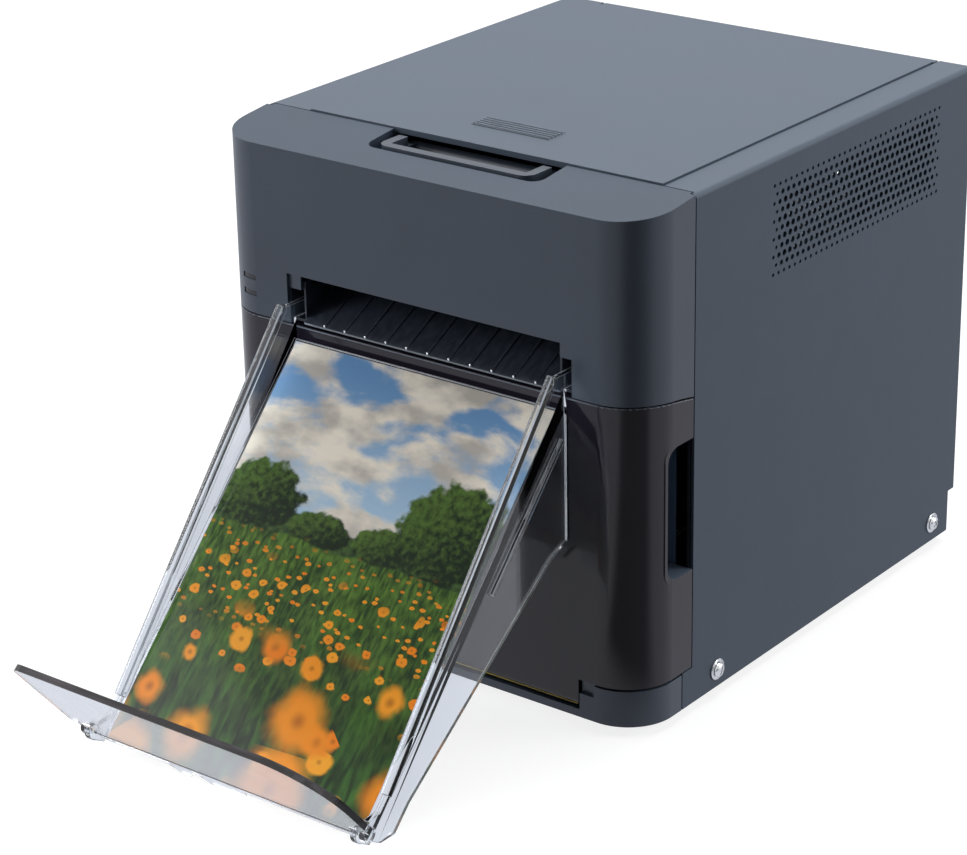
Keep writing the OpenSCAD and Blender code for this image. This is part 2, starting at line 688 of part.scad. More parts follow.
module right_frame() {
  color("gray") difference() {
    plain_frame(path_x + frame_in, path_x + frame_out, 1);
    frame_bores(path_x + frame_in - 1, path_x + frame_out + 1);
    fan_corners() rod([0, 0], 1.6, path_x + frame_in - 1, path_x + frame_out + 1);
  }
}
module tie_rods() {
  color("silver") on_path() for (p = rod_at) {
    rod(p, 2.5, -frame_out, frame_out);
    rod(p, 4, -frame_in + 0.02, frame_in - 0.02);
    both() rod(p, 4, frame_out + 0.02, frame_out + 1.5);
  }
}

// ---------------------------------------------------------------- door
module door_shape(inset) {
  intersection() {
    translate([0, 0, door_z]) linear_extrude(door_top) front_plan(inset, front_d);
    rod([door_pivot_y, pivot_z], door_r - inset, -side_x, side_x);
  }
}
module grip_outline(grow) {
  r = 6;
  y0 = front_d - grip_d - grow;
  z0 = base_z + grip_z - grow;
  h = grip_h + 2 * grow;
  translate([y0, z0 + r]) square([40, h - 2 * r]);
  translate([y0 + r, z0]) square([40, h]);
  for (z = [z0 + r, z0 + h - r]) translate([y0 + r, z]) circle(r = r);
}
module front_door() {
  half = door_barrel_w / 2;
  color([0.1, 0.09, 0.1]) difference() {
    union() {
      difference() {
        door_shape(0);
        translate([0, 0, -1]) door_shape(shell_t);
      }
      // pocket wall behind each finger grip
      both() intersection() {
        difference() {
          along_x(side_x - grip_depth, side_x - 0.1) grip_outline(1.6);
          along_x(side_x - grip_depth + 1.6, side_x + 1) grip_outline(0);
        }
        box(0, side_x, 0, front_d, 0, top_z);
      }
      // hinge barrel, its web and its two pins
      on_path() {
        rod([door_pivot_y, pivot_z], barrel_r, -half, half);
        box(-half, half, 0.2, shell_t, pivot_z, door_z + 1);
        rod([door_pivot_y, pivot_z], 1.8, -half - 8, half + 8);
      }
      // stiffening ribs
      for (x = [-50, 50]) box(x - 0.8, x + 0.8, shell_t - 0.1, 6, door_z + 4, door_top_z - 6);
    }
    both() along_x(side_x - grip_depth + 1.6, side_x + 1) grip_outline(0);
  }
}

// ---------------------------------------------------------------- tray
// local frame on the tray floor: u runs up the slope from the toe, n is square to it
module on_floor() {
  translate([0, -toe_y, toe_z]) rotate([tray_angle, 0, 0]) children();
}
function world(u, n) = [-toe_y + u * cos(tray_angle) - n * sin(tray_angle),
  toe_z + u * sin(tray_angle) + n * cos(tray_angle)];
floor_l = print_l + 1.2;
plate_x = print_w / 2 + 1.9 + tray_t;              // outer face of the side plates
hinge_u = -1.4;
hinge_n = 5.6;
stop_at = world(hinge_u, hinge_n);
tip_y = stop_at[0] - stop_l * cos(stop_angle) - stop_t / 2 * sin(stop_angle);
mid_y = (body_d + tip_y) / 2;                      // middle of the whole object along Y
rail_top = [-7, door_top_z + 9.8];
rail_toe = [-toe_y + 9, 17.8];
module tray_side() {
  tuck = 0.5;                                      // gap to the closed door
  along_x(plate_x - tray_t, plate_x) polygon([rail_top, [-tuck - 2, door_top_z + 9.6],
    [-tuck, door_top_z + 7], [-tuck, door_top_z - 56], [-10, door_top_z - 60],
    world(16, -13), [-toe_y + 12, 1.4], [-toe_y + 4, 1.4], world(-3, 0), world(-3, 2), world(4, 1), rail_toe]);
  // ear around the stop's pin
  rod(stop_at, 4.2, plate_x - tray_t, plate_x);
  along_x(plate_x - tray_t, plate_x) polygon([world(-4, -1), world(-5.4, 5), world(2.7, 5), world(8, 0.5), world(8, -4)]);
  // round-edged top rail
  rail_len = dist2(rail_toe, rail_top);
  translate([plate_x - tray_t / 2, rail_toe[0], rail_toe[1]])
    rotate([heading(rail_toe, rail_top) - 90, 0, 0]) cylinder(r = 2.2, h = rail_len);
  // outer rib near the floor
  along_x(plate_x - 0.1, plate_x + 1.4) polygon([world(floor_l - 9, -5), world(floor_l - 9, -7),
    world(94, -7), world(94, -5)]);
  // peg that plugs into the socket beside the slot
  box(plate_x - tray_t, plate_x, -3, 10, door_top_z + 3.4, door_top_z + 9.6);
}
module print_tray() {
  color([0.85, 0.88, 0.9, 0.35]) on_path() difference() {
    union() {
      both() tray_side();
      on_floor() {
        box(-plate_x + 1, plate_x - 1, 0, floor_l, -2.2, 0);
        // two runners under the floor
        for (x = [-22, 22]) box(x - 0.9, x + 0.9, 6, floor_l - 8, -6, -2.1);
      }
    }
    both() rod(stop_at, 1.5 + shaft_gap, plate_x - tray_t - 0.4, plate_x + 0.4);
    // thumb notch in the toe of the floor
    on_floor() for (x = [-9, 9]) translate([x, 0, -3]) cylinder(r = 7, h = 4);
  }
}
module tray_stop() {
  narrow = plate_x - tray_t - 0.5;
  wide = 71.5;
  r = 26;
  r_left = 4;
  lift = 5.2;                                      // where the wide part begins
  tab_l = 10.4;                                    // reach of the finger tabs below the pivot
  color([0.85, 0.88, 0.9, 0.35]) on_path() translate([0, stop_at[0], stop_at[1]])
    rotate([180 - stop_angle - 90, 0, 0]) {
      translate([0, stop_t / 2, 0]) rotate([90, 0, 0]) linear_extrude(stop_t) union() {
        translate([-narrow, -4.8]) square([2 * narrow, lift + 6]);
        difference() {
          translate([-wide, lift]) square([2 * wide, stop_l - lift]);
          difference() {
            translate([wide - r, stop_l - r]) square([r + 1, r + 1]);
            translate([wide - r, stop_l - r]) circle(r = r);
          }
          difference() {
            translate([-wide - 1, stop_l - r_left]) square([r_left + 1, r_left + 1]);
            translate([-wide + r_left, stop_l - r_left]) circle(r = r_left);
          }
        }
        // two finger tabs under the lower edge, as [left end, width]
        for (tab = [[-29, 11], [-14, 22]])
          polygon([[tab[0], -4.7], [tab[0] + 2.5, -tab_l], [tab[0] + tab[1] - 3, -tab_l],
            [tab[0] + tab[1], -4.7]]);
      }
      // cheeks outside the tray's plates
      both() {
        rod([0, 0], 3, plate_x + 0.5, plate_x + 3);
        box(plate_x + 0.5, plate_x + 3, -stop_t / 2, stop_t / 2, 0, lift + 1);
      }
      rod([0, 0], 1.5, -plate_x - 1, plate_x + 1);
    }
}
module photo_print() {
  t = 0.3;
  color("seagreen") on_path() on_floor() box(-print_w / 2, print_w / 2, 0.4, print_l, 0.15, 0.15 + t);
}

// ---------------------------------------------------------------- print engine
module paper_roll() {
  color("white") on_path() difference() {
    rod(roll_at, paper_r, -print_w / 2, print_w / 2);
    rod(roll_at, 19, -print_w, print_w);
  }
}
module roll_flanges() {
  rim = paper_r + 5;
  x0 = print_w / 2;
  color("dimgray") on_path() both() difference() {
    union() {
      rod(roll_at, rim, x0 + 0.02, x0 + 2);
      rod(roll_at, 18.95, x0 - 17, x0 + 0.1);
    }
    difference() {
      rod(roll_at, rim - 6, x0 - 1, x0 + 3);
      rod(roll_at, 24, x0 - 2, x0 + 4);
      for (a = [0:60:300]) translate([x0 + 1, roll_at[0], roll_at[1]]) rotate([a, 0, 0])
        translate([0, 0, rim / 2]) cube([8, 5, rim], center = true);
    }
    rod(roll_at, 8.02, x0 - 30, x0 + 5);
  }
}
module roll_shaft() {
  color("silver") on_path() {
    rod(roll_at, 8, -66, 66);
    rod(roll_at, 4, -frame_out - 1.6, frame_out + 1.6);
  }
}
module roller(at, r, shaft, half, left_end) {
  rod(at, r, -half, half);
  rod(at, shaft, -left_end, frame_out + 1.4);
}
gear_end = frame_out + 2 + gear_t + 1.5;
module platen_roller() { color("black") on_path() roller(platen_at, platen_r, 3, 62, gear_end); }
module feed_roller() { color("silver") on_path() roller(feed_at, feed_r, 3, 62, gear_end); }
module pinch_roller() { color("black") on_path() roller(pinch_at, pinch_r, 2.5, 60, frame_out + 1.4); }
module exit_roller() { color("black") on_path() roller(exit_at, exit_r, 2.5, 60, frame_out + 1.4); }
module exit_star_wheels() {
  color("black") on_path() {
    rod(star_at, 2, -frame_out - 1.4, frame_out + 1.4);
    for (x = [-45, -15, 15, 45]) rod(star_at, 5, x - 4, x + 4);
  }
}
press_gap = 0.01;                                  // gears pressed on their shafts
module platen_gear() {
  color("ivory") gear(platen_teeth, platen_at, platen_phase, gear_t, 3 + press_gap);
}
module feed_gear() { color("ivory") gear(feed_teeth, feed_at, feed_phase, gear_t, 3 + press_gap); }
module idler_gear() { color("ivory") gear(idler_teeth, idler_at, idler_phase, gear_t, 2 + shaft_gap); }
module feed_idler_gear() {
  color("ivory") gear(feed_idler_teeth, feed_idler_at, feed_idler_phase, gear_t, 2 + shaft_gap);
}
module motor_pinion() {
  color("goldenrod") {
    gear(pinion_teeth, motor_at, pinion_phase, gear_t, 1.5);
    rod(motor_at, 1.5, gear_x - gear_t, path_x - frame_in + 8);
  }
}
module drive_motor() {
  x0 = path_x - frame_in + 0.02;
  color("silver") difference() {
    union() {
      rod(motor_at, 14, x0, x0 + 32);
      rod(motor_at, 3.4, x0 - 1.6, x0 + 1);
    }
    rod(motor_at, 1.5 + shaft_gap, x0 - 2, x0 + 10);
  }
}
head_z = path_z + 0.5;
module thermal_head() {
  color("dimgray") on_path() along_x(-58, 58)
    polygon([[100, head_z + 2], [105, head_z], [112, head_z], [121, head_z + 3], [121, head_z + 8], [100, head_z + 8]]);
}
module head_heat_sink() {
  color("silver") on_path() difference() {
    box(-58, 58, 100, 121, head_z + 8.02, head_z + 22);
    for (k = [0:3]) box(-59, 59, 102.5 + k * 4.8, 104.9 + k * 4.8, head_z + 12, head_z + 23);
  }
}
module head_arms() {
  color("gray") on_path() both() difference() {
    union() {
      along_x(60, 63) polygon([[99, head_z + 6], [122, head_z + 6], [head_pivot[0] + 4, head_pivot[1] - 3],
        [head_pivot[0] + 4, head_pivot[1] + 3], [head_pivot[0] - 6, head_pivot[1] + 3], [99, head_z + 22]]);
      rod(head_pivot, 5, 60, 70);
      box(58.02, 61, 100, 121, head_z + 7, head_z + 21);
    }
    rod(head_pivot, 2 + shaft_gap, 50, 80);
  }
}
module head_shaft() { color("silver") on_path() rod(head_pivot, 2, -frame_in - 1, frame_in + 1); }
cutter_y = 59;
module cutter_rail() {
  color("silver") on_path() {
    rod([cutter_y + 3, path_z + 13], 2.5, -frame_in + 0.02, frame_in - 0.02);
  }
}
module cutter_bar() {
  color("gray") on_path() box(-frame_in + 0.02, frame_in - 0.02, cutter_y, cutter_y + 5, path_z - 8, path_z - 0.6);
}
axle_z = path_z + 8;
module cutter_carriage() {
  color("dimgray") on_path() translate([-68, 0, 0]) difference() {
    box(-7, 7, cutter_y, cutter_y + 8, path_z + 4, path_z + 17);
    rod([cutter_y + 3, path_z + 13], 2.5 + shaft_gap, -9, 9);
    translate([0, cutter_y + 2.6, axle_z]) rotate([90, 0, 0]) cylinder(r = 1.2 + shaft_gap, h = 4);
  }
}
module cutter_blade() {
  color("silver") on_path() translate([-68, cutter_y - 0.5, axle_z]) rotate([90, 0, 0]) {
    cylinder(r = 8.4, h = 0.6);
    translate([0, 0, -3]) cylinder(r = 1.2, h = 4.2);
  }
}
module spool(at, r) {
  rod(at, r, -56, 56);
  both() rod(at, r + 2, 56, 57.5);
  rod(at, 3, -frame_out - 1.4, frame_out + 1.4);
  rod(at, 6, -70, 70);
}
module supply_spool() { color("indigo") on_path() spool(supply_at, supply_r); }
module takeup_spool() { color("indigo") on_path() spool(takeup_at, takeup_r - 2); }
board_y = body_d - 20;
module main_board() {
  color("darkgreen") {
    box(-72, 44, board_y, board_y + 1.6, base_z + 26, base_z + 104);
    for (k = [0:2]) box(-60 + k * 30, -42 + k * 30, board_y - 3, board_y - 0.02, base_z + 62, base_z + 78);
  }
}
module board_posts() {
  color("goldenrod") for (x = [-66, 38], z = [30, 100]) translate([x, rear_y - sheet_t - 0.02, base_z + z])
    rotate([90, 0, 0]) cylinder(r = 2.5, h = rear_y - sheet_t - board_y - 1.64, $fn = 24);
}
module power_supply() {
  color("silver") difference() {
    box(-62, 66, 152, 204, base_z + 3.4, base_z + 52);
    for (k = [0:9]) box(-50 + k * 11, -46 + k * 11, 160, 196, base_z + 50.5, base_z + 53);
  }
}

place() base_pan();
place() rubber_feet();
place() front_chin();
place() front_bezel();
place() exit_guide();
place() indicator_lights();
place() release_handle();
place() latch_hooks();
place() latch_shaft();
place() lid();
place() lid_hinge_pins();
place() right_side_cover();
place() left_side_cover();
place() side_screws();
place() side_washers();
place() rear_cover();
place() rear_screws();
place() power_inlet();
place() data_port();
place() switch_housing();
place() power_switch();
place() fan_frame();
place() fan_rotor();
place() fan_screws();
place() left_frame();
place() right_frame();
place() tie_rods();
place() front_door();
place() print_tray();
place() tray_stop();
place() photo_print();
place() paper_roll();
place() roll_flanges();
place() roll_shaft();
place() platen_roller();
place() platen_gear();
place() feed_roller();
place() feed_gear();
place() pinch_roller();
place() exit_roller();
place() exit_star_wheels();
place() drive_motor();
place() motor_pinion();
place() idler_gear();
place() feed_idler_gear();
place() thermal_head();
place() head_heat_sink();
place() head_arms();
place() head_shaft();
place() cutter_rail();
place() cutter_bar();
place() cutter_carriage();
place() cutter_blade();
place() supply_spool();
place() takeup_spool();
place() main_board();
place() board_posts();
place() power_supply();
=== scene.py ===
"""Compact photo printer: finishes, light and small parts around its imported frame."""

import json
import math

import bmesh
import bpy
from mathutils import Euler, Matrix, Vector


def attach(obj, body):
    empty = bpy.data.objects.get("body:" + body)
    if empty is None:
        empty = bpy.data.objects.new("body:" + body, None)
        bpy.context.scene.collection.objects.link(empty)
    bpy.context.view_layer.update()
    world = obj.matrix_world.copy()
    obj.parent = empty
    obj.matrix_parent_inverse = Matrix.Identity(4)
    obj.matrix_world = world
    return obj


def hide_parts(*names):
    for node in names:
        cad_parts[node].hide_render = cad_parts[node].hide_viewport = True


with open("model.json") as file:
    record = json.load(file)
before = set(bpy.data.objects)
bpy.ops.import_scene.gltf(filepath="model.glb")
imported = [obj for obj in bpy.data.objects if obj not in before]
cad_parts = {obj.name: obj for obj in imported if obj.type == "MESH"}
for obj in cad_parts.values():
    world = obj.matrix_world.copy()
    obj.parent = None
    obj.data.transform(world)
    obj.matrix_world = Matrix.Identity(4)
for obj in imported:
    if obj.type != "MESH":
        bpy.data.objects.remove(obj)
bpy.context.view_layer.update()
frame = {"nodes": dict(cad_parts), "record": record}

MM = 0.001
NODE_BODY = {
    node: body
    for body, nodes in frame["record"]["behaviour"]["bodies"].items()
    for node in nodes
}
NODE_SLOT = {
    part["node"]: part["material_slot"] for part in frame["record"]["subparts"]
}

# ------------------------------------------------------------------ CAD sizes, mm
MID_Y = 38.807  # the front face stands this far in front of the frame's origin
PATH_X = 2.5  # the lid, slot and print path sit this far to the right
SIDE_X = 100.0
BASE_Z = 4.0
REAR_Y = 227.8
TRAY_SLOPE = math.radians(46.7)
TOE = (-115.5, 7.1)  # the tray floor's toe in (y, z)
PRINT_W = 121.0
PRINT_L = 164.0


def spot(x, y, z):
    """A point given in mm from the middle of the front face's foot."""
    return Vector((x * MM, (y - MID_Y) * MM, z * MM))


# ------------------------------------------------------------------ shader maths
def srgb(red, green, blue):
    """A colour picked in screen values from 0 to 255, as linear RGBA."""
    out = []
    for value in (red, green, blue):
        part = value / 255
        out.append(part / 12.92 if part <= 0.04045 else ((part + 0.055) / 1.055) ** 2.4)
    return (*out, 1.0)


class Wire:
    """A shader socket that takes part in plain Python sums."""

    def __init__(self, tree, socket=None):
        self.tree, self.socket = tree, socket

    def node(self, kind, settings=None, sockets=None, out=0):
        """Adds a node: its settings first, then the values or links of its sockets.

        A list of wires goes into one socket that takes several.
        """
        made = self.tree.nodes.new(kind)
        for key, value in (settings or {}).items():
            if key == "stops":
                steps = made.color_ramp.elements
                while len(steps) < len(value):
                    steps.new(0.5)
                for step, (place, color) in zip(steps, value):
                    step.position, step.color = place, color
            else:
                setattr(made, key, value)
        for key, value in (sockets or {}).items():
            if isinstance(value, Wire):
                self.tree.links.new(value.socket, made.inputs[key])
            elif isinstance(value, list) and isinstance(value[0], Wire):
                for one in value:
                    self.tree.links.new(one.socket, made.inputs[key])
            else:
                made.inputs[key].default_value = value
        return Wire(self.tree, made.outputs[out])

    def out(self, name):
        """Another output of the same node."""
        return Wire(self.tree, self.socket.node.outputs[name])

    def math(self, operation, a, b=0.0):
        return self.node("ShaderNodeMath", {"operation": operation}, {0: a, 1: b})

    def __add__(self, other):
        return self.math("ADD", self, other)

    def __radd__(self, other):
        return self.math("ADD", other, self)

    def __sub__(self, other):
        return self.math("SUBTRACT", self, other)

    def __rsub__(self, other):
        return self.math("SUBTRACT", other, self)

    def __mul__(self, other):
        return self.math("MULTIPLY", self, other)

    def __rmul__(self, other):
        return self.math("MULTIPLY", other, self)

    def __gt__(self, other):
        return self.math("GREATER_THAN", self, other)

    def __lt__(self, other):
        return self.math("LESS_THAN", self, other)

    def __or__(self, other):
        return self.math("MAXIMUM", self, other)

    def __and__(self, other):
        return self.math("MINIMUM", self, other)

    def ramp(self, low, high, to_low=0.0, to_high=1.0):
        """Runs smoothly from to_low to to_high as the value goes from low to high."""
        return self.node(
            "ShaderNodeMapRange",
            {"interpolation_type": "SMOOTHSTEP"},
            {0: self, 1: low, 2: high, 3: to_low, 4: to_high},
        )

    def blend(self, low, high):
        """Mixes two colours, with this value as the share of the second."""
        return self.node(
            "ShaderNodeMix", {"data_type": "RGBA"}, {0: self, 6: low, 7: high}, 2
        )


class Finish:
    """A material: one shader, the place on the object, and textures that read it."""

    def __init__(self, name, rough=0.5, metal=0.0, **fixed):
        self.material = bpy.data.materials.new(name)
        self.material.use_nodes = True
        self.tree = self.material.node_tree
        self.shader = self.tree.nodes["Principled BSDF"]
        self.start = Wire(self.tree)
        self.shader.inputs["Roughness"].default_value = rough
        self.shader.inputs["Metallic"].default_value = metal
        for key, value in fixed.items():
            self.shader.inputs[key.replace("_", " ")].default_value = value
        self.where = self.start.node("ShaderNodeTexCoord", None, None, "Object")

    def turned(self, shift=(0, 0, 0), turn=(0, 0, 0), scale=(1, 1, 1)):
        """The place on the object, turned and moved for a pattern."""
        return self.start.node(
            "ShaderNodeMapping",
            None,
            {"Vector": self.where, "Location": shift, "Rotation": turn, "Scale": scale},
        )

    def noise(self, size, detail=2.0, where=None, **more):
        """Noise whose blotches are about this many millimetres across."""
        sockets = {"Vector": where or self.where, "Scale": 1 / (size * MM)}
        sockets["Detail"] = detail
        sockets.update(more)
        return self.start.node("ShaderNodeTexNoise", None, sockets)

    def cells(self, size, where=None, feature="F1", **more):
        """Cells about this many millimetres across."""
        sockets = {"Vector": where or self.where, "Scale": 1 / (size * MM)}
        sockets.update(more)
        return self.start.node("ShaderNodeTexVoronoi", {"feature": feature}, sockets)

    def feed(self, **values):
        for key, value in values.items():
            socket = self.shader.inputs[key.replace("_", " ")]
            if isinstance(value, Wire):
                self.tree.links.new(value.socket, socket)
            else:
                socket.default_value = value
        return self

    def relief(self, height, depth, strength=1.0):
        """Bumps this many millimetres deep."""
        self.feed(
            Normal=self.start.node(
                "ShaderNodeBump",
                None,
                {"Strength": strength, "Distance": depth * MM, "Height": height},
            )
        )
        return self


def moulded(name, color, rough, grain=0.45, depth=0.012, vary=0.06, **fixed):
    """Plastic or paint with a fine even grain, slightly uneven in tone and gloss."""
    made = Finish(name, rough, **fixed)
    cloud = made.noise(34, 3)
    speck = made.noise(grain, 1)
    low = [c * (1 - vary) for c in color[:3]] + [1]
    high = [c * (1 + vary) for c in color[:3]] + [1]
    tone = cloud * 0.6 + speck * 0.4
    made.feed(
        Base_Color=tone.ramp(0.3, 0.7).blend(low, high),
        Roughness=cloud.ramp(0.3, 0.7, rough - 0.015, rough + 0.015),
    )
    return made.relief(speck, depth)


def brushed(name, color, rough, along="x", grain=0.25, **fixed):
    """Metal with fine streaks along one axis and a few duller patches."""
    made = Finish(name, rough, 1.0, **fixed)
    stretch = {"x": (0.05, 1, 1), "y": (1, 0.05, 1), "z": (1, 1, 0.05)}[along]
    lines = made.noise(grain, 2, made.turned(scale=stretch))
    patch = made.noise(9, 3)
    low = [c * 0.84 for c in color[:3]] + [1]
    made.feed(
        Base_Color=(lines * 0.6 + patch * 0.4).ramp(0.3, 0.7).blend(low, color),
        Roughness=lines.ramp(0.3, 0.7, rough - 0.06, rough + 0.08),
    )
    return made.relief(lines, 0.006)


# ------------------------------------------------------------------ finishes
SHELL = srgb(72, 83, 98)
LID = srgb(84, 96, 111)


def shell_front():
    return moulded("front_shell_paint", SHELL, 0.33, grain=0.6, Specular_IOR_Level=0.5)


def shell_upper():
    """The front moulding's top face, which is duller than its front."""
    return moulded(
        "front_shell_top", srgb(73, 84, 98), 0.5, grain=0.6, Specular_IOR_Level=0.25
    )


# Pale paint for a rod along the dark door's top edge: a painted highlight.
def door_rim_highlight():
    return moulded("door_rim_highlight", srgb(142, 152, 166), 0.24, grain=0.6, depth=0.004)


# Blue-grey, much paler than the door, for its finger pockets' walls: a painted sheen
# inside the recess.
def pocket_wall_sheen():
    return moulded(
        "pocket_wall_sheen", srgb(88, 100, 117), 0.45, grain=0.6, Specular_IOR_Level=0.3
    )


def shell_top():
    return moulded("cover_paint", LID, 0.46, grain=0.7, Specular_IOR_Level=0.28)


def sheet_dark():
    return moulded("pan_paint", srgb(58, 61, 66), 0.6, grain=0.8, depth=0.02)


def black_plastic():
    return moulded(
        "black_moulding", srgb(21, 24, 30), 0.42, grain=0.5, vary=0.12,
        Specular_IOR_Level=0.35,
    )


def rubber():
    return moulded(
        "roller_rubber", srgb(30, 30, 32), 0.75, grain=0.3, depth=0.03, vary=0.15
    )


def smoked():
    made = Finish("smoked_gloss", 0.07, Specular_IOR_Level=0.42)
    cloud = made.noise(60, 2)
    dust = made.cells(1.6).ramp(0.02, 0.09, 1, 0) * made.noise(12, 2).ramp(0.55, 0.7)
    scuff = made.noise(0.5, 2, made.turned(turn=(0.3, 0.2, 0.5), scale=(1, 0.04, 1)))
    base = cloud.ramp(0.3, 0.7).blend(srgb(38, 34, 45), srgb(44, 40, 52))
    made.feed(
        Base_Color=(dust * 0.12).blend(base, srgb(120, 116, 112)),
        Roughness=cloud.ramp(0.3, 0.7, 0.05, 0.09) + scuff.ramp(0.6, 0.8, 0, 0.05),
    )
    return made.relief(made.noise(22, 1), 0.012)


def smoked_edge_highlight():
    """The door's rounded edges, paler than its faces: a painted highlight."""
    return moulded(
        "smoked_edge_highlight", srgb(92, 88, 97), 0.2, grain=0.8, depth=0.003, vary=0.08
    )


def shell_edge_highlight():
    """Rounded edges of the front moulding: a paler, smoother copy of its paint, as a
    painted highlight along them.
    """
    return moulded("front_shell_edge", srgb(132, 144, 159), 0.3, grain=0.6, depth=0.006)


# A paler copy of the cover paint for the bevels of the lid and the exit ramp: a painted
# highlight on their edges.
def cover_edge_highlight():
    return moulded("cover_edge_highlight", srgb(104, 116, 131), 0.32, grain=0.7, depth=0.006)


def handle_paint():
    return moulded("handle_paint", srgb(62, 71, 84), 0.4, grain=0.6, depth=0.008)


def ramp_plastic():
    """Satin moulding of the exit ramp, with faint wear along the way prints slide."""
    made = Finish("ramp_moulding", 0.4, Specular_IOR_Level=0.4)
    wear = made.noise(2.2, 3, made.turned(scale=(1, 0.08, 1)))
    speck = made.noise(0.5, 1)
    made.feed(
        Base_Color=wear.ramp(0.35, 0.75).blend(srgb(42, 48, 60), srgb(52, 58, 70)),
        Roughness=wear.ramp(0.3, 0.7, 0.34, 0.46),
    )
    return made.relief(speck, 0.01)


def acrylic_rim_refraction():
    """The flap's upper rim, where the clear sheet is seen along its width. Opaque: its
    dark tone paints the dark printer seen through the edge, its paler streaks paint
    light.
    """
    made = Finish("acrylic_rim_refraction", 0.1, Specular_IOR_Level=0.6)
    streak = made.noise(5, 3, made.turned(scale=(0.12, 1, 1)))
    made.feed(
        Base_Color=streak.ramp(0.4, 0.72).blend(srgb(34, 29, 33), srgb(92, 88, 94))
    )
    return made.relief(made.noise(6, 1), 0.02)


def acrylic_edge_highlight():
    """Polished cut edges of the tray: their near-white colour is a painted highlight.
    """
    return moulded("acrylic_edge_highlight", srgb(196, 201, 210), 0.12, grain=0.8, depth=0.002)


def clear():
    """Clear acrylic. Rays from the lamps pass straight through it."""
    made = Finish(
        "clear_acrylic", 0.03, Transmission_Weight=1.0, IOR=1.49,
        Specular_IOR_Level=0.5,
    )
    cloud = made.noise(40, 2)
    hair = made.noise(0.35, 2, made.turned(turn=(0.8, 0, 0.2), scale=(1, 0.03, 1)))
    made.feed(
        Base_Color=cloud.ramp(0.3, 0.7).blend(srgb(236, 240, 243), srgb(246, 249, 251)),
        Roughness=cloud.ramp(0.3, 0.7, 0.015, 0.04) + hair.ramp(0.62, 0.8, 0, 0.1),
    )
    made.relief(made.noise(18, 1), 0.03)
    through = made.start.node(
        "ShaderNodeBsdfTransparent", None, {"Color": (0.9, 0.92, 0.93, 1)}
    )
    mixed = made.start.node(
        "ShaderNodeMixShader",
        None,
        {
            0: made.start.node("ShaderNodeLightPath", None, None, "Is Shadow Ray"),
            1: Wire(made.tree, made.shader.outputs[0]),
            2: through,
        },
    )
    made.tree.links.new(
        mixed.socket, made.tree.nodes["Material Output"].inputs["Surface"]
    )
    return made


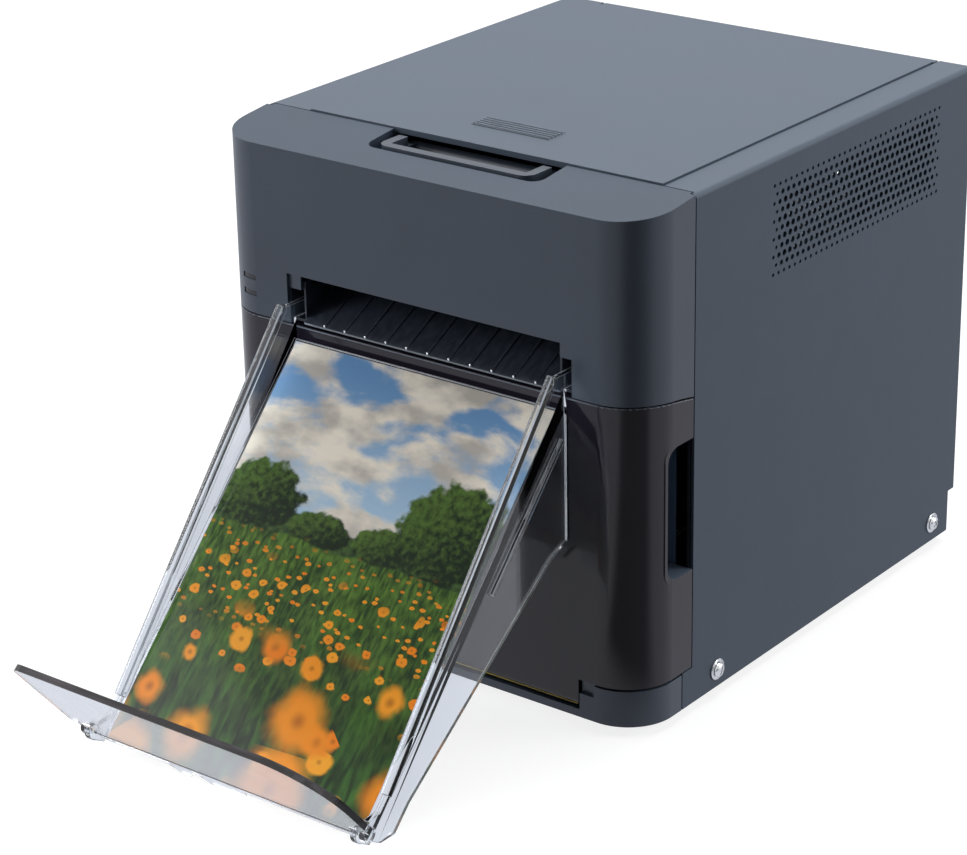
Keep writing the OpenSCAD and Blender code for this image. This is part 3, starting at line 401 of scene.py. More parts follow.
def picture():
    """A made-up summer meadow: clouds, far hills, a few round trees and flowers."""
    made = Finish(
        "glossy_print", 0.2, Specular_IOR_Level=0.1, Coat_Weight=0.08,
        Coat_Roughness=0.06,
    )
    up = (
        spot(0, *TOE).y * math.cos(TRAY_SLOPE) + spot(0, *TOE).z * math.sin(TRAY_SLOPE)
    )
    flat = made.turned((-PATH_X * MM, -up, 0), (-TRAY_SLOPE, 0, 0))
    split = made.start.node("ShaderNodeSeparateXYZ", None, {0: flat})
    s = split * (1 / (PRINT_W * MM)) + 0.5
    t = split.out("Y") * (1 / (PRINT_L * MM))
    sheet = made.start.node("ShaderNodeCombineXYZ", None, {0: s, 1: t * 1.37, 2: 0.0})

    def field(scale, detail=3.0, stretch=(1, 1, 1), shift=(0, 0, 0), **more):
        place = made.start.node(
            "ShaderNodeMapping",
            None,
            {"Vector": sheet, "Scale": stretch, "Location": shift},
        )
        return made.start.node(
            "ShaderNodeTexNoise",
            None,
            {"Vector": place, "Scale": scale, "Detail": detail, **more},
        )

    # sky with clouds
    sky = t.ramp(0.58, 1.0).blend(srgb(176, 206, 230), srgb(104, 152, 202))
    cloud = field(3.1, 6.0, (1, 1.9, 1), (3.1, 0.7, 0), Distortion=0.25)
    shade = field(5.0, 4.0, (1, 1.8, 1), (3.16, 0.62, 0))
    puff = shade.ramp(0.34, 0.62).blend(srgb(192, 186, 178), srgb(248, 240, 226))
    view = cloud.ramp(0.41, 0.54).blend(sky, puff)
    # far hills
    ridge = field(2.2, 2.0, (1, 0, 1), (0.4, 0, 0)) * 0.12 + 0.535
    leaf = field(46, 4.0)
    hills = leaf.ramp(0.3, 0.7).blend(srgb(30, 52, 30), srgb(70, 96, 48))
    view = (t - ridge).ramp(-0.004, 0.004, 1, 0).blend(view, hills)

    # round trees
    def tree(x, y, wide, high, view):
        dx, dy = (s - x) * (1 / wide), (t - y) * (1 / high)
        edge = (dx * dx + dy * dy) + (field(17, 4.0, shift=(x, y, 0)) - 0.5) * 1.5
        light = (leaf * 0.9 + (dy - dx) * 0.14).ramp(0.28, 0.74)
        crown = light.blend(srgb(18, 36, 18), srgb(82, 112, 46))
        return edge.ramp(0.78, 1.05, 1, 0).blend(view, crown)

    view = tree(0.13, 0.63, 0.17, 0.085, view)
    view = tree(0.40, 0.585, 0.13, 0.045, view)
    view = tree(0.86, 0.66, 0.2, 0.13, view)
    view = tree(0.66, 0.59, 0.12, 0.05, view)
    # meadow: lighter far away, dark and streaky near
    fine = field(70, 3.0, (1, 0.28, 1))
    broad = field(26, 4.0, (1, 0.2, 1), (0.3, 0, 0), Distortion=0.8)
    clump = field(6, 2.0)
    near = t.ramp(0.0, 0.56, 1, 0)
    grass = (fine * 0.7 + clump * 0.3).ramp(0.34, 0.68).blend(
        srgb(28, 56, 22), srgb(96, 132, 50)
    )
    dark = (broad * 0.8 + clump * 0.25).ramp(0.4, 0.72).blend(
        srgb(12, 30, 14), srgb(60, 104, 40)
    )
    meadow = near.blend(grass, dark)
    view = (t - 0.55 - (field(5, 2.0, (1, 0, 1)) - 0.5) * 0.05).ramp(
        -0.004, 0.004, 1, 0
    ).blend(view, meadow)

    # flowers: small and many far away, large and soft in front
    def flowers(cells, low, high, radius, soft, chance, stretch, view, shift):
        place = made.start.node(
            "ShaderNodeMapping",
            None,
            {"Vector": sheet, "Scale": (1, stretch, 1), "Location": shift},
        )
        wobble = made.start.node(
            "ShaderNodeTexVoronoi",
            {"voronoi_dimensions": "2D"},
            {"Vector": place, "Scale": cells},
        )
        pick = made.start.node(
            "ShaderNodeSeparateColor", None, {0: wobble.out("Color")}
        )
        petal = (field(cells * 3.2, 2.0, (1, stretch, 1)) - 0.5) * 0.22
        size = pick.out("Green") * 0.5 + 0.55
        bloom = (wobble + petal - size * radius).ramp(-soft, soft * 0.4, 1, 0)
        there = (pick > chance) * t.ramp(low - 0.03, low + 0.03) * t.ramp(
            high - 0.04, high + 0.04, 1, 0
        )
        hue = (pick.out("Blue") * 0.6 + petal + 0.2).blend(
            srgb(238, 116, 10), srgb(255, 182, 48)
        )
        heart = wobble.ramp(0.0, radius * 0.3, 1, 0)
        hue = (heart * 0.6).blend(hue, srgb(150, 60, 6))
        return (bloom * there * 0.97).blend(view, hue)

    view = flowers(24, 0.34, 0.53, 0.28, 0.05, 0.45, 1.7, view, (0.2, 0.4, 0))
    view = flowers(13, 0.22, 0.48, 0.29, 0.05, 0.5, 1.3, view, (0.7, 0.1, 0))
    view = flowers(6.5, 0.02, 0.36, 0.31, 0.08, 0.55, 1.1, view, (0.3, 0.6, 0))
    view = flowers(4.3, -0.1, 0.34, 0.36, 0.12, 0.5, 1.0, view, (0.15, 0.8, 0))
    view = flowers(2.9, -0.1, 0.32, 0.38, 0.16, 0.42, 1.0, view, (0.62, 0.3, 0))
    made.feed(Base_Color=view, Roughness=made.noise(20, 2).ramp(0.3, 0.7, 0.15, 0.22))
    return made.relief(made.noise(26, 1), 0.02)


def paper():
    """Roll paper: wound rings show on the ends."""
    made = Finish("roll_paper", 0.6)
    mid = spot(0, 95, BASE_Z + 62)
    flat = made.start.node(
        "ShaderNodeVectorMath",
        {"operation": "SUBTRACT"},
        {0: made.where, 1: tuple(mid)},
    )
    split = made.start.node("ShaderNodeSeparateXYZ", None, {0: flat})
    across = split.out("Y") * split.out("Y") + split.out("Z") * split.out("Z")
    radius = made.start.math("SQRT", across)
    turns = made.start.math("SINE", radius * (2 * math.pi / (0.9 * MM)))
    wear = made.noise(16, 3)
    tone = (turns * 0.5 + 0.5) * 0.3 + wear * 0.7
    made.feed(
        Base_Color=tone.ramp(0.25, 0.75).blend(srgb(226, 222, 212), srgb(246, 244, 238))
    )
    return made.relief(turns, 0.03)


def ribbon():
    """Ribbon film on its spools, with the dye panels as bands and fine windings."""
    made = Finish("ribbon_film", 0.22, Coat_Weight=0.3)
    wind = made.noise(0.5, 2, made.turned(scale=(0.02, 1, 1)))
    band = made.noise(30, 1, made.turned(scale=(0.1, 1, 1)))
    base = band.ramp(0.4, 0.6).blend(srgb(52, 36, 84), srgb(96, 34, 70))
    made.feed(
        Base_Color=(wind * 0.3).blend(base, srgb(14, 10, 26)),
        Roughness=wind.ramp(0.3, 0.7, 0.16, 0.3),
    )
    return made.relief(wind, 0.01)


def board():
    """Circuit board: solder mask over traces that show as a faint relief."""
    made = Finish("solder_mask", 0.32, Coat_Weight=0.25)
    grid = made.start.node(
        "ShaderNodeTexBrick",
        {"offset": 0.37},
        {
            "Vector": made.turned(turn=(math.pi / 2, 0, 0)),
            "Scale": 1 / (9 * MM),
            "Mortar Size": 0.035,
            "Brick Width": 0.9,
            "Row Height": 0.28,
        },
        "Fac",
    )
    pads = made.cells(2.6, Randomness=0.2).ramp(0.2, 0.26, 1, 0)
    base = made.noise(14, 2).ramp(0.3, 0.7).blend(srgb(20, 74, 42), srgb(28, 92, 54))
    base = grid.blend(base, srgb(48, 120, 70))
    few = made.noise(8, 1).ramp(0.56, 0.6)
    made.feed(Base_Color=(pads * few).blend(base, srgb(176, 170, 140)))
    return made.relief(grid, 0.03)


def roller_steel():
    """Shaft steel with a fine grind."""
    return brushed("ground_steel", srgb(186, 189, 193), 0.3, "x", 0.3)


def gear_resin():
    return moulded("gear_resin", srgb(228, 223, 207), 0.42, grain=0.9, vary=0.05)


def indicator():
    return moulded(
        "light_pipe", srgb(34, 36, 42), 0.2, grain=1.2, depth=0.004, vary=0.2
    )


MAKERS = {
    "sheet_dark": sheet_dark,
    "rubber": rubber,
    "shell_front": shell_front,
    "shell_top": shell_top,
    "black_plastic": black_plastic,
    "smoked": smoked,
    "steel": roller_steel,
    "bright": lambda: brushed("chrome_plate", srgb(226, 228, 230), 0.14, "z", 0.4),
    "bright_plastic": lambda: brushed(
        "fan_plating", srgb(236, 240, 244), 0.3, "y", 0.6
    ),
    "zinc": lambda: brushed("zinc_plate", srgb(158, 161, 165), 0.4, "y", 0.5),
    "clear": clear,
    "print_gloss": picture,
    "paper": paper,
    "ivory": gear_resin,
    "brass": lambda: brushed("turned_brass", srgb(206, 166, 84), 0.28, "x", 0.3),
    "alloy": lambda: brushed("sink_alloy", srgb(190, 193, 196), 0.36, "x", 0.4),
    "ribbon": ribbon,
    "board": board,
}
FINISH = {slot: make().material for slot, make in MAKERS.items()}
FINISH["indicator"] = indicator().material

for node, part in frame["nodes"].items():
    look = FINISH["indicator" if node == "indicator_lights" else NODE_SLOT[node]]
    part.data.materials.clear()
    part.data.materials.append(look)


# ------------------------------------------------------------------ piece helpers
def piece(name, mesh, body, material=None, replaces=()):
    """Adds a finished mesh as a piece that rides on a body."""
    made = bpy.data.objects.new(name, mesh)
    bpy.context.scene.collection.objects.link(made)
    if material:
        mesh.materials.clear()
        mesh.materials.append(material)
    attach(made, body)
    if replaces:
        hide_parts(*replaces)
    return made


def plain_mesh(thing):
    """What an object looks like after its modifiers, as a mesh of its own."""
    graph = bpy.context.evaluated_depsgraph_get()
    mesh = bpy.data.meshes.new_from_object(thing.evaluated_get(graph))
    bpy.data.objects.remove(thing)
    return mesh


def draft_object(name, mesh):
    """A thing to work on, which plain_mesh later turns into a plain mesh."""
    made = bpy.data.objects.new(name + "_draft", mesh)
    bpy.context.scene.collection.objects.link(made)
    return made


def outward(mesh):
    """Merges points that coincide and turns every face outward."""
    shape = bmesh.new()
    shape.from_mesh(mesh)
    bmesh.ops.remove_doubles(shape, verts=shape.verts, dist=1e-7)
    bmesh.ops.recalc_face_normals(shape, faces=shape.faces)
    shape.to_mesh(mesh)
    shape.free()
    return mesh


def even_shade(mesh, name):
    """Smooth faces that stay flat where the shape is flat, with sharp edges kept."""
    mesh.shade_smooth()
    mesh.set_sharp_from_angle(angle=math.radians(42))
    draft = draft_object(name, mesh)
    shade = draft.modifiers.new("shade", "WEIGHTED_NORMAL")
    shade.weight = 100
    shade.keep_sharp = True
    mesh = plain_mesh(draft)
    mesh.name = name
    return mesh


def grown(name, body, sizes, build, places=(Vector(),), replaces=()):
    """A piece that Geometry Nodes make from named sizes, as one plain mesh.

    The places are points that the pattern is given to put things on.
    """
    tree = bpy.data.node_groups.new(name + "_pattern", "GeometryNodeTree")
    words = {
        float: "Float", int: "Int", Vector: "Vector",
        bpy.types.Material: "Material", bpy.types.Object: "Object",
    }
    tree.interface.new_socket(
        "Places", in_out="INPUT", socket_type="NodeSocketGeometry"
    )
    keys = {}
    for label, value in sizes.items():
        word = next(words[kind] for kind in words if isinstance(value, kind))
        keys[label] = tree.interface.new_socket(
            label, in_out="INPUT", socket_type="NodeSocket" + word
        ).identifier
    tree.interface.new_socket(
        "Shape", in_out="OUTPUT", socket_type="NodeSocketGeometry"
    )
    given = Wire(tree).node("NodeGroupInput")
    real = given.node("GeometryNodeRealizeInstances", None, {0: build(given)})
    done = given.node(
        "GeometryNodeSetMaterial", None, {0: real, "Material": given.out("Material")}
    )
    tree.links.new(done.socket, tree.nodes.new("NodeGroupOutput").inputs[0])
    points = bpy.data.meshes.new(name + "_places")
    points.from_pydata([tuple(place) for place in places], [], [])
    draft = draft_object(name, points)
    grow = draft.modifiers.new("grow", "NODES")
    grow.node_group = tree
    for label, value in sizes.items():
        grow[keys[label]] = value
    mesh = even_shade(outward(plain_mesh(draft)), name)
    for value in sizes.values():
        if isinstance(value, bpy.types.Object):
            bpy.data.objects.remove(value)
    return piece(name, mesh, body, None, replaces)


def xyz(given, x=0.0, y=0.0, z=0.0):
    return given.node("ShaderNodeCombineXYZ", None, {0: x, 1: y, 2: z})


def put_on(given, shape, points, turn=None, scale=None):
    """Puts a shape on each point, turned and scaled if those values are given."""
    sockets = {"Points": points, "Instance": shape}
    if turn:
        sockets["Rotation"] = turn
    if scale:
        sockets["Scale"] = scale
    return given.node("GeometryNodeInstanceOnPoints", None, sockets)


def model_of(given, label):
    """The shape of the object that a named input holds."""
    return given.node(
        "GeometryNodeObjectInfo", None, {"Object": given.out(label)}, "Geometry"
    )


def row_of(given, start, step):
    """Points in a line: their count is the input Count."""
    return given.node(
        "GeometryNodeMeshLine",
        None,
        {
            "Count": given.out("Count"), "Start Location": given.out(start),
            "Offset": given.out(step),
        },
    )


def ring_turn(given):
    """The angle of each of Count things that stand evenly round a circle."""
    place = given.node("GeometryNodeInputIndex")
    return place * given.math("DIVIDE", 2 * math.pi, given.out("Count"))


def lathe(name, outline, steps=28, closed=False):
    """A turned shape about the X axis, from an outline of (x, radius) in mm."""
    shape = bmesh.new()
    line = [shape.verts.new((x * MM, 0, radius * MM)) for x, radius in outline]
    edges = [shape.edges.new(pair) for pair in zip(line, line[1:])]
    if closed:
        edges.append(shape.edges.new((line[-1], line[0])))
    bmesh.ops.spin(
        shape, geom=line + edges, cent=(0, 0, 0), axis=(1, 0, 0),
        angle=2 * math.pi, steps=steps,
    )
    bmesh.ops.remove_doubles(shape, verts=shape.verts, dist=1e-7)
    bmesh.ops.recalc_face_normals(shape, faces=shape.faces)
    mesh = bpy.data.meshes.new(name)
    shape.to_mesh(mesh)
    shape.free()
    return mesh


def block(name, size, edge, centre=(0, 0, 0), segments=2):
    """A block with softened edges. Sizes in mm."""
    shape = bmesh.new()
    bmesh.ops.create_cube(shape, size=MM)
    bmesh.ops.scale(shape, vec=size, verts=shape.verts)
    bmesh.ops.bevel(
        shape, geom=shape.edges[:], offset=edge * MM, segments=segments,
        affect="EDGES", profile=0.5,
    )
    bmesh.ops.translate(shape, vec=Vector(centre) * MM, verts=shape.verts)
    mesh = bpy.data.meshes.new(name)
    shape.to_mesh(mesh)
    shape.free()
    return mesh


def cross_recess(mesh, low, high, wide, arm):
    """Cuts a cross for a driver into a head that faces along X."""
    cutter = bmesh.new()
    for size in ((wide, arm), (arm, wide)):
        bmesh.ops.create_cube(
            cutter,
            size=MM,
            matrix=Matrix.Translation(((low + high) / 2 * MM, 0, 0))
            @ Matrix.Diagonal((high - low, size[0], size[1], 1)),
        )
    shape = bpy.data.meshes.new("cross")
    cutter.to_mesh(shape)
    cutter.free()
    tool = draft_object("cross", shape)
    head = draft_object("head", mesh)
    cut = head.modifiers.new("cut", "BOOLEAN")
    cut.object = tool
    cut.solver = "EXACT"
    cut.use_self = True
    done = plain_mesh(head)
    bpy.data.objects.remove(tool)
    return done


def rounded(node, width, name, segments=2, angle=32, face=None, edge=None):
    """Takes a CAD node's place: the same shape, facets merged and edges rounded."""
    shape = bmesh.new()
    shape.from_mesh(frame["nodes"][node].data)
    bmesh.ops.remove_doubles(shape, verts=shape.verts, dist=1e-6)
    bmesh.ops.dissolve_limit(
        shape, angle_limit=math.radians(0.4), verts=shape.verts, edges=shape.edges
    )
    mesh = bpy.data.meshes.new(name)
    shape.to_mesh(mesh)
    shape.free()
    mesh.materials.clear()
    mesh.materials.append(face or FINISH[NODE_SLOT[node]])
    draft = draft_object(name, mesh)
    turn = draft.modifiers.new("edge", "BEVEL")
    turn.width = width * MM
    turn.segments = segments
    turn.limit_method = "ANGLE"
    turn.angle_limit = math.radians(angle)
    turn.use_clamp_overlap = True
    turn.miter_outer = "MITER_ARC"
    # Where an edge finish is given, the bevel faces take it: a paler copy that paints a
    # highlight along the rounded edges.
    if edge:
        mesh.materials.append(edge)
        turn.material = 1
    mesh = even_shade(plain_mesh(draft), name)
    return piece(name, mesh, NODE_BODY[node], None, (node,))


# Paler copy of the shell paint for the bevels of the moulding, chin and handle: a
# painted highlight on their rounded edges.
SHELL_EDGE_HIGHLIGHT = shell_edge_highlight().material
bezel = rounded("front_bezel", 0.7, "bezel_shell", edge=SHELL_EDGE_HIGHLIGHT)
rounded("front_chin", 0.4, "chin_shell", edge=SHELL_EDGE_HIGHLIGHT)
door = rounded("front_door", 0.45, "door_shell", edge=smoked_edge_highlight().material)
rounded("lid", 0.35, "lid_panel", edge=cover_edge_highlight().material)
HANDLE = handle_paint().material
rounded("release_handle", 0.5, "loop_handle", 3, face=HANDLE, edge=SHELL_EDGE_HIGHLIGHT)
RAMP = ramp_plastic().material
rounded("exit_guide", 0.2, "exit_ramp", face=RAMP, edge=cover_edge_highlight().material)
rounded("print_tray", 0.4, "tray_clear", 3, edge=acrylic_edge_highlight().material)
flap = rounded("tray_stop", 0.5, "stop_clear", 3)


def refinish(thing, material, chosen):
    """Gives the faces that a test picks, by middle and normal, another finish."""
    thing.data.materials.append(material)
    for face in thing.data.polygons:
        if chosen(face.center, face.normal):
            face.material_index = len(thing.data.materials) - 1


STOP_LEAN = math.radians(50)  # of the flap above the horizontal
STOP_WAY = Vector((0, -math.cos(STOP_LEAN), math.sin(STOP_LEAN)))
# The flap's top edge faces take the opaque rim colour: a painted refraction.
refinish(flap, acrylic_rim_refraction().material, lambda at, way: way.dot(STOP_WAY) > 0.3)
refinish(bezel, shell_upper().material, lambda at, way: way.z > 0.97)

# the walls of the door's finger pockets, in mm
POCKET_X = (78, 99.2)  # from the middle, on either side
POCKET_FLOOR_X = 97  # faces that look sideways belong to it only this far out
POCKET_Y = 16.4
POCKET_Z = (59, 114)


def in_pocket(at, way):
    """Whether a face of the door is one of a finger pocket's walls."""
    out = abs(at.x) / MM
    return (
        POCKET_X[0] < out < POCKET_X[1]
        and spot(0, POCKET_Y, 0).y < at.y
        and POCKET_Z[0] < at.z / MM < POCKET_Z[1]
        and (abs(way.x) < 0.6 or out < POCKET_FLOOR_X)
    )


# The pocket walls take the paler finish: a painted sheen.
refinish(door, pocket_wall_sheen().material, in_pocket)

# ------------------------------------------------------------------ screws
SIDE_SCREWS = [(50, BASE_Z + 7.6), (212, BASE_Z + 8.4)]  # (y, z) on both sides
REAR_SCREWS = [(x, BASE_Z + z) for x in (-88, 88) for z in (30, 190)]


def screw_model(name, reach, radius, rise):
    """A domed cross head on its shank. The head faces along X."""
    head = lathe(
        name,
        [
            (-reach, 0), (-reach, 1.5), (0, 1.5), (0, radius - 0.15), (0.15, radius),
            (rise * 0.42, radius), (rise * 0.8, radius * 0.8), (rise, radius * 0.42),
            (rise, 0),
        ],
    )
    return draft_object(
        name, cross_recess(head, rise - 0.8, rise + 1, 0.66, radius * 1.3)
    )


def facing_out(given):
    """Turns a thing made along X away from the middle of the case, spun at random."""
    place = given.node("GeometryNodeInputPosition")
    across = given.node("ShaderNodeSeparateXYZ", None, {0: place})
    spin = given.node(
        "FunctionNodeRandomValue",
        {"data_type": "FLOAT"},
        {2: 0.0, 3: math.pi, 8: given.out("Seed")},
        1,
    )
    heading = (across < 0.0) * given.out("Flip") + given.out("Heading")
    return xyz(given, spin, 0.0, heading)


def screws(given):
    return put_on(given, model_of(given, "Screw"), given, facing_out(given))


def washers(given):
    """A dished ring with small teeth under its rim."""
    tooth = given.node("GeometryNodeMeshCube", None, {"Size": given.out("Tooth")})
    tooth = given.node(
        "GeometryNodeTransform",
        None,
        {"Geometry": tooth, "Translation": given.out("Tooth place")},
    )
    ring = given.node("GeometryNodePoints", None, {"Count": given.out("Count")})
    teeth = put_on(given, tooth, ring, xyz(given, ring_turn(given)))
    whole = given.node(
        "GeometryNodeJoinGeometry", None, {0: [teeth, model_of(given, "Ring")]}
    )
    return put_on(given, whole, given, facing_out(given))


def side_spots(out):
    return [
        spot(side * (SIDE_X + out), y, z) for side in (-1, 1) for y, z in SIDE_SCREWS
    ]


grown(
    "side_cross_screws",
    "casing",
    {
        "Screw": screw_model("cross_screw", 9, 2.9, 1.7), "Seed": 4, "Flip": math.pi,
        "Heading": 0.0, "Material": FINISH["bright"],
    },
    screws,
    side_spots(0.8),
    ("side_screws",),
)
grown(
    "toothed_washers",
    "casing",
    {
        "Ring": draft_object(
            "washer_ring",
            lathe(
                "washer_ring",
                [
                    (0.02, 1.55), (0.02, 4.0), (0.14, 4.16), (0.6, 4.16), (0.76, 4.0),
                    (0.76, 3.72), (0.36, 3.5), (0.36, 3.1), (0.7, 2.96), (0.7, 1.55),
                ],
                40,
                True,
            ),
        ),
        "Count": 26,
        "Tooth": Vector((0.4, 0.32, 0.5)) * MM,
        "Tooth place": Vector((0.34, 0, 4.05)) * MM,
        "Seed": 7, "Flip": math.pi, "Heading": 0.0, "Material": FINISH["bright"],
    },
    washers,
    side_spots(0),
    ("side_washers",),
)
grown(
    "rear_cross_screws",
    "casing",
    {
        "Screw": screw_model("rear_cross_screw", 6.9, 2.8, 1.58), "Seed": 11,
        "Flip": 0.0, "Heading": math.pi / 2, "Material": FINISH["bright"],
    },
    screws,
    [spot(x, REAR_Y + 0.02, z) for x, z in REAR_SCREWS],
    ("rear_screws",),
)

# ------------------------------------------------------------------ fan
FAN_AT = spot(86, 118, 176)


def fan_wheel(given):
    """Swept blades that stand evenly round a hub."""
    slab = given.node(
        "GeometryNodeMeshCube",
        None,
        {
            "Size": (1.0, 1.0, 1.0), "Vertices X": 2, "Vertices Y": 9, "Vertices Z": 9,
        },
    )
    place = given.node("GeometryNodeInputPosition")
    part = given.node("ShaderNodeSeparateXYZ", None, {0: place})
    thick, chord, reach = part, part.out("Y"), part.out("Z")
    radius = (reach + 0.5) * (given.out("Tip") - given.out("Root")) + given.out("Root")
    angle = chord * given.out("Chord") + (reach + 0.5) * given.out("Sweep")
    bow = (0.25 - chord * chord) * given.out("Camber")
    depth = chord * given.out("Depth") + thick * given.out("Thickness") + bow
    bent = xyz(
        given,
        depth,
        radius * given.math("SINE", angle),
        radius * given.math("COSINE", angle),
    )
    blade = given.node("GeometryNodeSetPosition", None, {0: slab, "Position": bent})
    blade = given.node(
        "GeometryNodeTransform",
        None,
        {"Geometry": blade, "Translation": given.out("Blade middle")},
    )
    ring = given.node("GeometryNodePoints", None, {"Count": given.out("Count")})
    blades = put_on(given, blade, ring, xyz(given, ring_turn(given)))
    whole = given.node(
        "GeometryNodeJoinGeometry", None, {0: [blades, model_of(given, "Hub")]}
    )
    return given.node(
        "GeometryNodeTransform",
        None,
        {"Geometry": whole, "Translation": given.out("Centre")},
    )


grown(
    "fan_wheel",
    "fan_body",
    {
        "Hub": draft_object(
            "fan_hub",
            lathe(
                "fan_hub",
                [
                    (0, 0), (0, 1.5), (2.6, 1.5), (2.6, 8.8), (2.8, 9), (9.6, 9),
                    (10.2, 8.7), (10.4, 8.1), (10.4, 5.4), (10.1, 5.1), (10.1, 0),
                ],
                40,
            ),
        ),
        "Count": 7, "Root": 8.7 * MM, "Tip": 20.2 * MM, "Chord": math.radians(42),
        "Sweep": math.radians(12), "Camber": 3.2 * MM, "Depth": 5.4 * MM,
        "Thickness": 1.0 * MM, "Blade middle": Vector((6.2, 0, 0)) * MM,
        "Centre": FAN_AT, "Material": FINISH["bright_plastic"],
    },
    fan_wheel,
    replaces=("fan_rotor",),
)


def finger_guard(given):
    """Wire rings and spokes across the fan's opening."""
    index = given.node("GeometryNodeInputIndex")
    size = index * given.out("Ring step") + given.out("First ring")
    loop = given.node(
        "GeometryNodeCurvePrimitiveCircle",
        {"mode": "RADIUS"},
        {"Resolution": 48, "Radius": 1.0},
    )
    rings = given.node("GeometryNodePoints", None, {"Count": given.out("Rings")})
    loops = put_on(given, loop, rings, None, xyz(given, size, size, size))
    arm = given.node(
        "GeometryNodeCurvePrimitiveLine", None, {"End": xyz(given, given.out("Reach"))}
    )
    spots = given.node("GeometryNodePoints", None, {"Count": given.out("Count")})
    arms = put_on(given, arm, spots, xyz(given, 0.0, 0.0, ring_turn(given) + 0.6))
    wires = given.node("GeometryNodeJoinGeometry", None, {0: [loops, arms]})
    wires = given.node("GeometryNodeRealizeInstances", None, {0: wires})
    section = given.node(
        "GeometryNodeCurvePrimitiveCircle",
        {"mode": "RADIUS"},
        {"Resolution": 8, "Radius": given.out("Wire")},
    )
    rods = given.node(
        "GeometryNodeCurveToMesh",
        None,
        {"Curve": wires, "Profile Curve": section, "Fill Caps": True},
    )
    return given.node(
        "GeometryNodeTransform",
        None,
        {
            "Geometry": rods, "Translation": given.out("Centre"),
            "Rotation": (0, math.pi / 2, 0),
        },
    )


grown(
    "fan_guard",
    "casing",
    {
        "Rings": 5, "First ring": 5.5 * MM, "Ring step": 3.9 * MM, "Count": 4,
        "Reach": 22 * MM, "Wire": 0.5 * MM,
        "Centre": FAN_AT + Vector((11.04, 0, 0)) * MM, "Material": FINISH["bright"],
    },
    finger_guard,
)
# Near-white vanes on the guard, lit through the vent: their colour stands in for the
# glints on the fan's blades, a painted highlight.
VANE_GLINT_PAINT = moulded(
    "vane_glint_paint", srgb(238, 242, 246), 0.3, grain=0.8, vary=0.04
).material
grown(
    "guard_vanes",
    "casing",
    {
        "Hub": draft_object(
            "guard_boss",
            lathe("guard_boss", [(11.6, 0), (11.6, 4), (11.8, 4.4), (12, 4), (12, 0)]),
        ),
        "Count": 7, "Root": 8.5 * MM, "Tip": 20.6 * MM, "Chord": math.radians(33),
        "Sweep": math.radians(-26), "Camber": 0.0, "Depth": 0.25 * MM,
        "Thickness": 0.3 * MM, "Blade middle": Vector((11.87, 0, 0)) * MM,
        "Centre": FAN_AT, "Material": VANE_GLINT_PAINT,
    },
    fan_wheel,
)


# ------------------------------------------------------------------ exit slot
def in_row(given):
    """The piece on each of Count points in a line."""
    return put_on(given, model_of(given, "Piece"), row_of(given, "Start", "Step"))


# Small white caps on the front ends of the ramp's ribs: painted highlights where the
# rib ends catch the light.
grown(
    "rib_caps",
    "casing",
    {
        "Piece": draft_object("rib_cap", block("rib_cap", (0.8, 1.2, 1.2), 0.2)),
        "Count": 11, "Start": spot(PATH_X - 50, 1.6, 133.4),
        "Step": Vector((10, 0, 0)) * MM, "Material": FINISH["bright_plastic"],
    },
    in_row,
)


def bead(name, x0, x1, y, z, radius, material, body):
    """A thin straight rod along the width, with rounded ends."""
    mesh = lathe(
        name,
        [
            (x0, 0), (x0, radius * 0.7), (x0 + radius, radius), (x1 - radius, radius),
            (x1, radius * 0.7), (x1, 0),
        ],
        12,
    )
    mesh.transform(Matrix.Translation(spot(0, y, z)))
    return piece(name, even_shade(mesh, name), body, material)


RAMP_HALF, SEAL_HALF = 59.6, 68.6  # half the length of each bead
# A pale bead along the dark ramp's front lip: a painted highlight on the lip's edge.
LIP_HIGHLIGHT = moulded("lip_highlight", srgb(124, 134, 145), 0.3, grain=0.6, vary=0.1)
bead(
    "ramp_lip", PATH_X - RAMP_HALF, PATH_X + RAMP_HALF, 0.95, 132.7, 0.34,
    LIP_HIGHLIGHT.material, "casing",
)
YELLOW = moulded("yellow_seal", srgb(172, 152, 62), 0.4, grain=0.5, vary=0.12)
bead(
    "door_seal_line", PATH_X - SEAL_HALF, PATH_X + SEAL_HALF, 0.48, 9.2, 0.3,
    YELLOW.material, "door_body",
)

DOOR_TOP = BASE_Z + 127.4
DOOR_PIVOT = (4.2, BASE_Z + 7)  # (y, z)
FRONT_D, CORNER_R = 32.8, 20.0


def rim_path(inset):
    """Points round the door's top edge, which lies on the arc that it swings on."""
    plan = [(SIDE_X - inset, FRONT_D - 0.6)]
    for step in range(13):
        a = math.radians(7.5 * step)
        plan.append(
            (
                SIDE_X - CORNER_R + (CORNER_R - inset) * math.cos(a),
                CORNER_R - (CORNER_R - inset) * math.sin(a),
            )
        )
    plan += [(-x, y) for x, y in reversed(plan)]
    swing = math.hypot(DOOR_PIVOT[0], DOOR_TOP - DOOR_PIVOT[1]) - inset
    return [
        spot(x, y, DOOR_PIVOT[1] + math.sqrt(swing**2 - (y - DOOR_PIVOT[0]) ** 2))
        for x, y in plan
    ]


def tube(name, points, radius, body, material):
    """A thin rod that follows points, as a mesh."""
    line = bpy.data.curves.new(name, "CURVE")
    line.dimensions = "3D"
    line.bevel_depth = radius * MM
    line.bevel_resolution = 3
    line.use_fill_caps = True
    spline = line.splines.new("POLY")
    spline.points.add(len(points) - 1)
    for knot, point in zip(spline.points, points):
        knot.co = (*point, 1)
    mesh = even_shade(plain_mesh(draft_object(name, line)), name)
    return piece(name, mesh, body, material)


RIM_R = 0.3  # of the rod along the door's top edge
# The pale rod along the door's top edge paints the highlight there.
tube("door_top_rim", rim_path(0.26), RIM_R, "door_body", door_rim_highlight().material)

# ------------------------------------------------------------------ seams and ridges: painted shade and sheen
LID_TOP = 205.8
RIDGE_STEP = 2.1
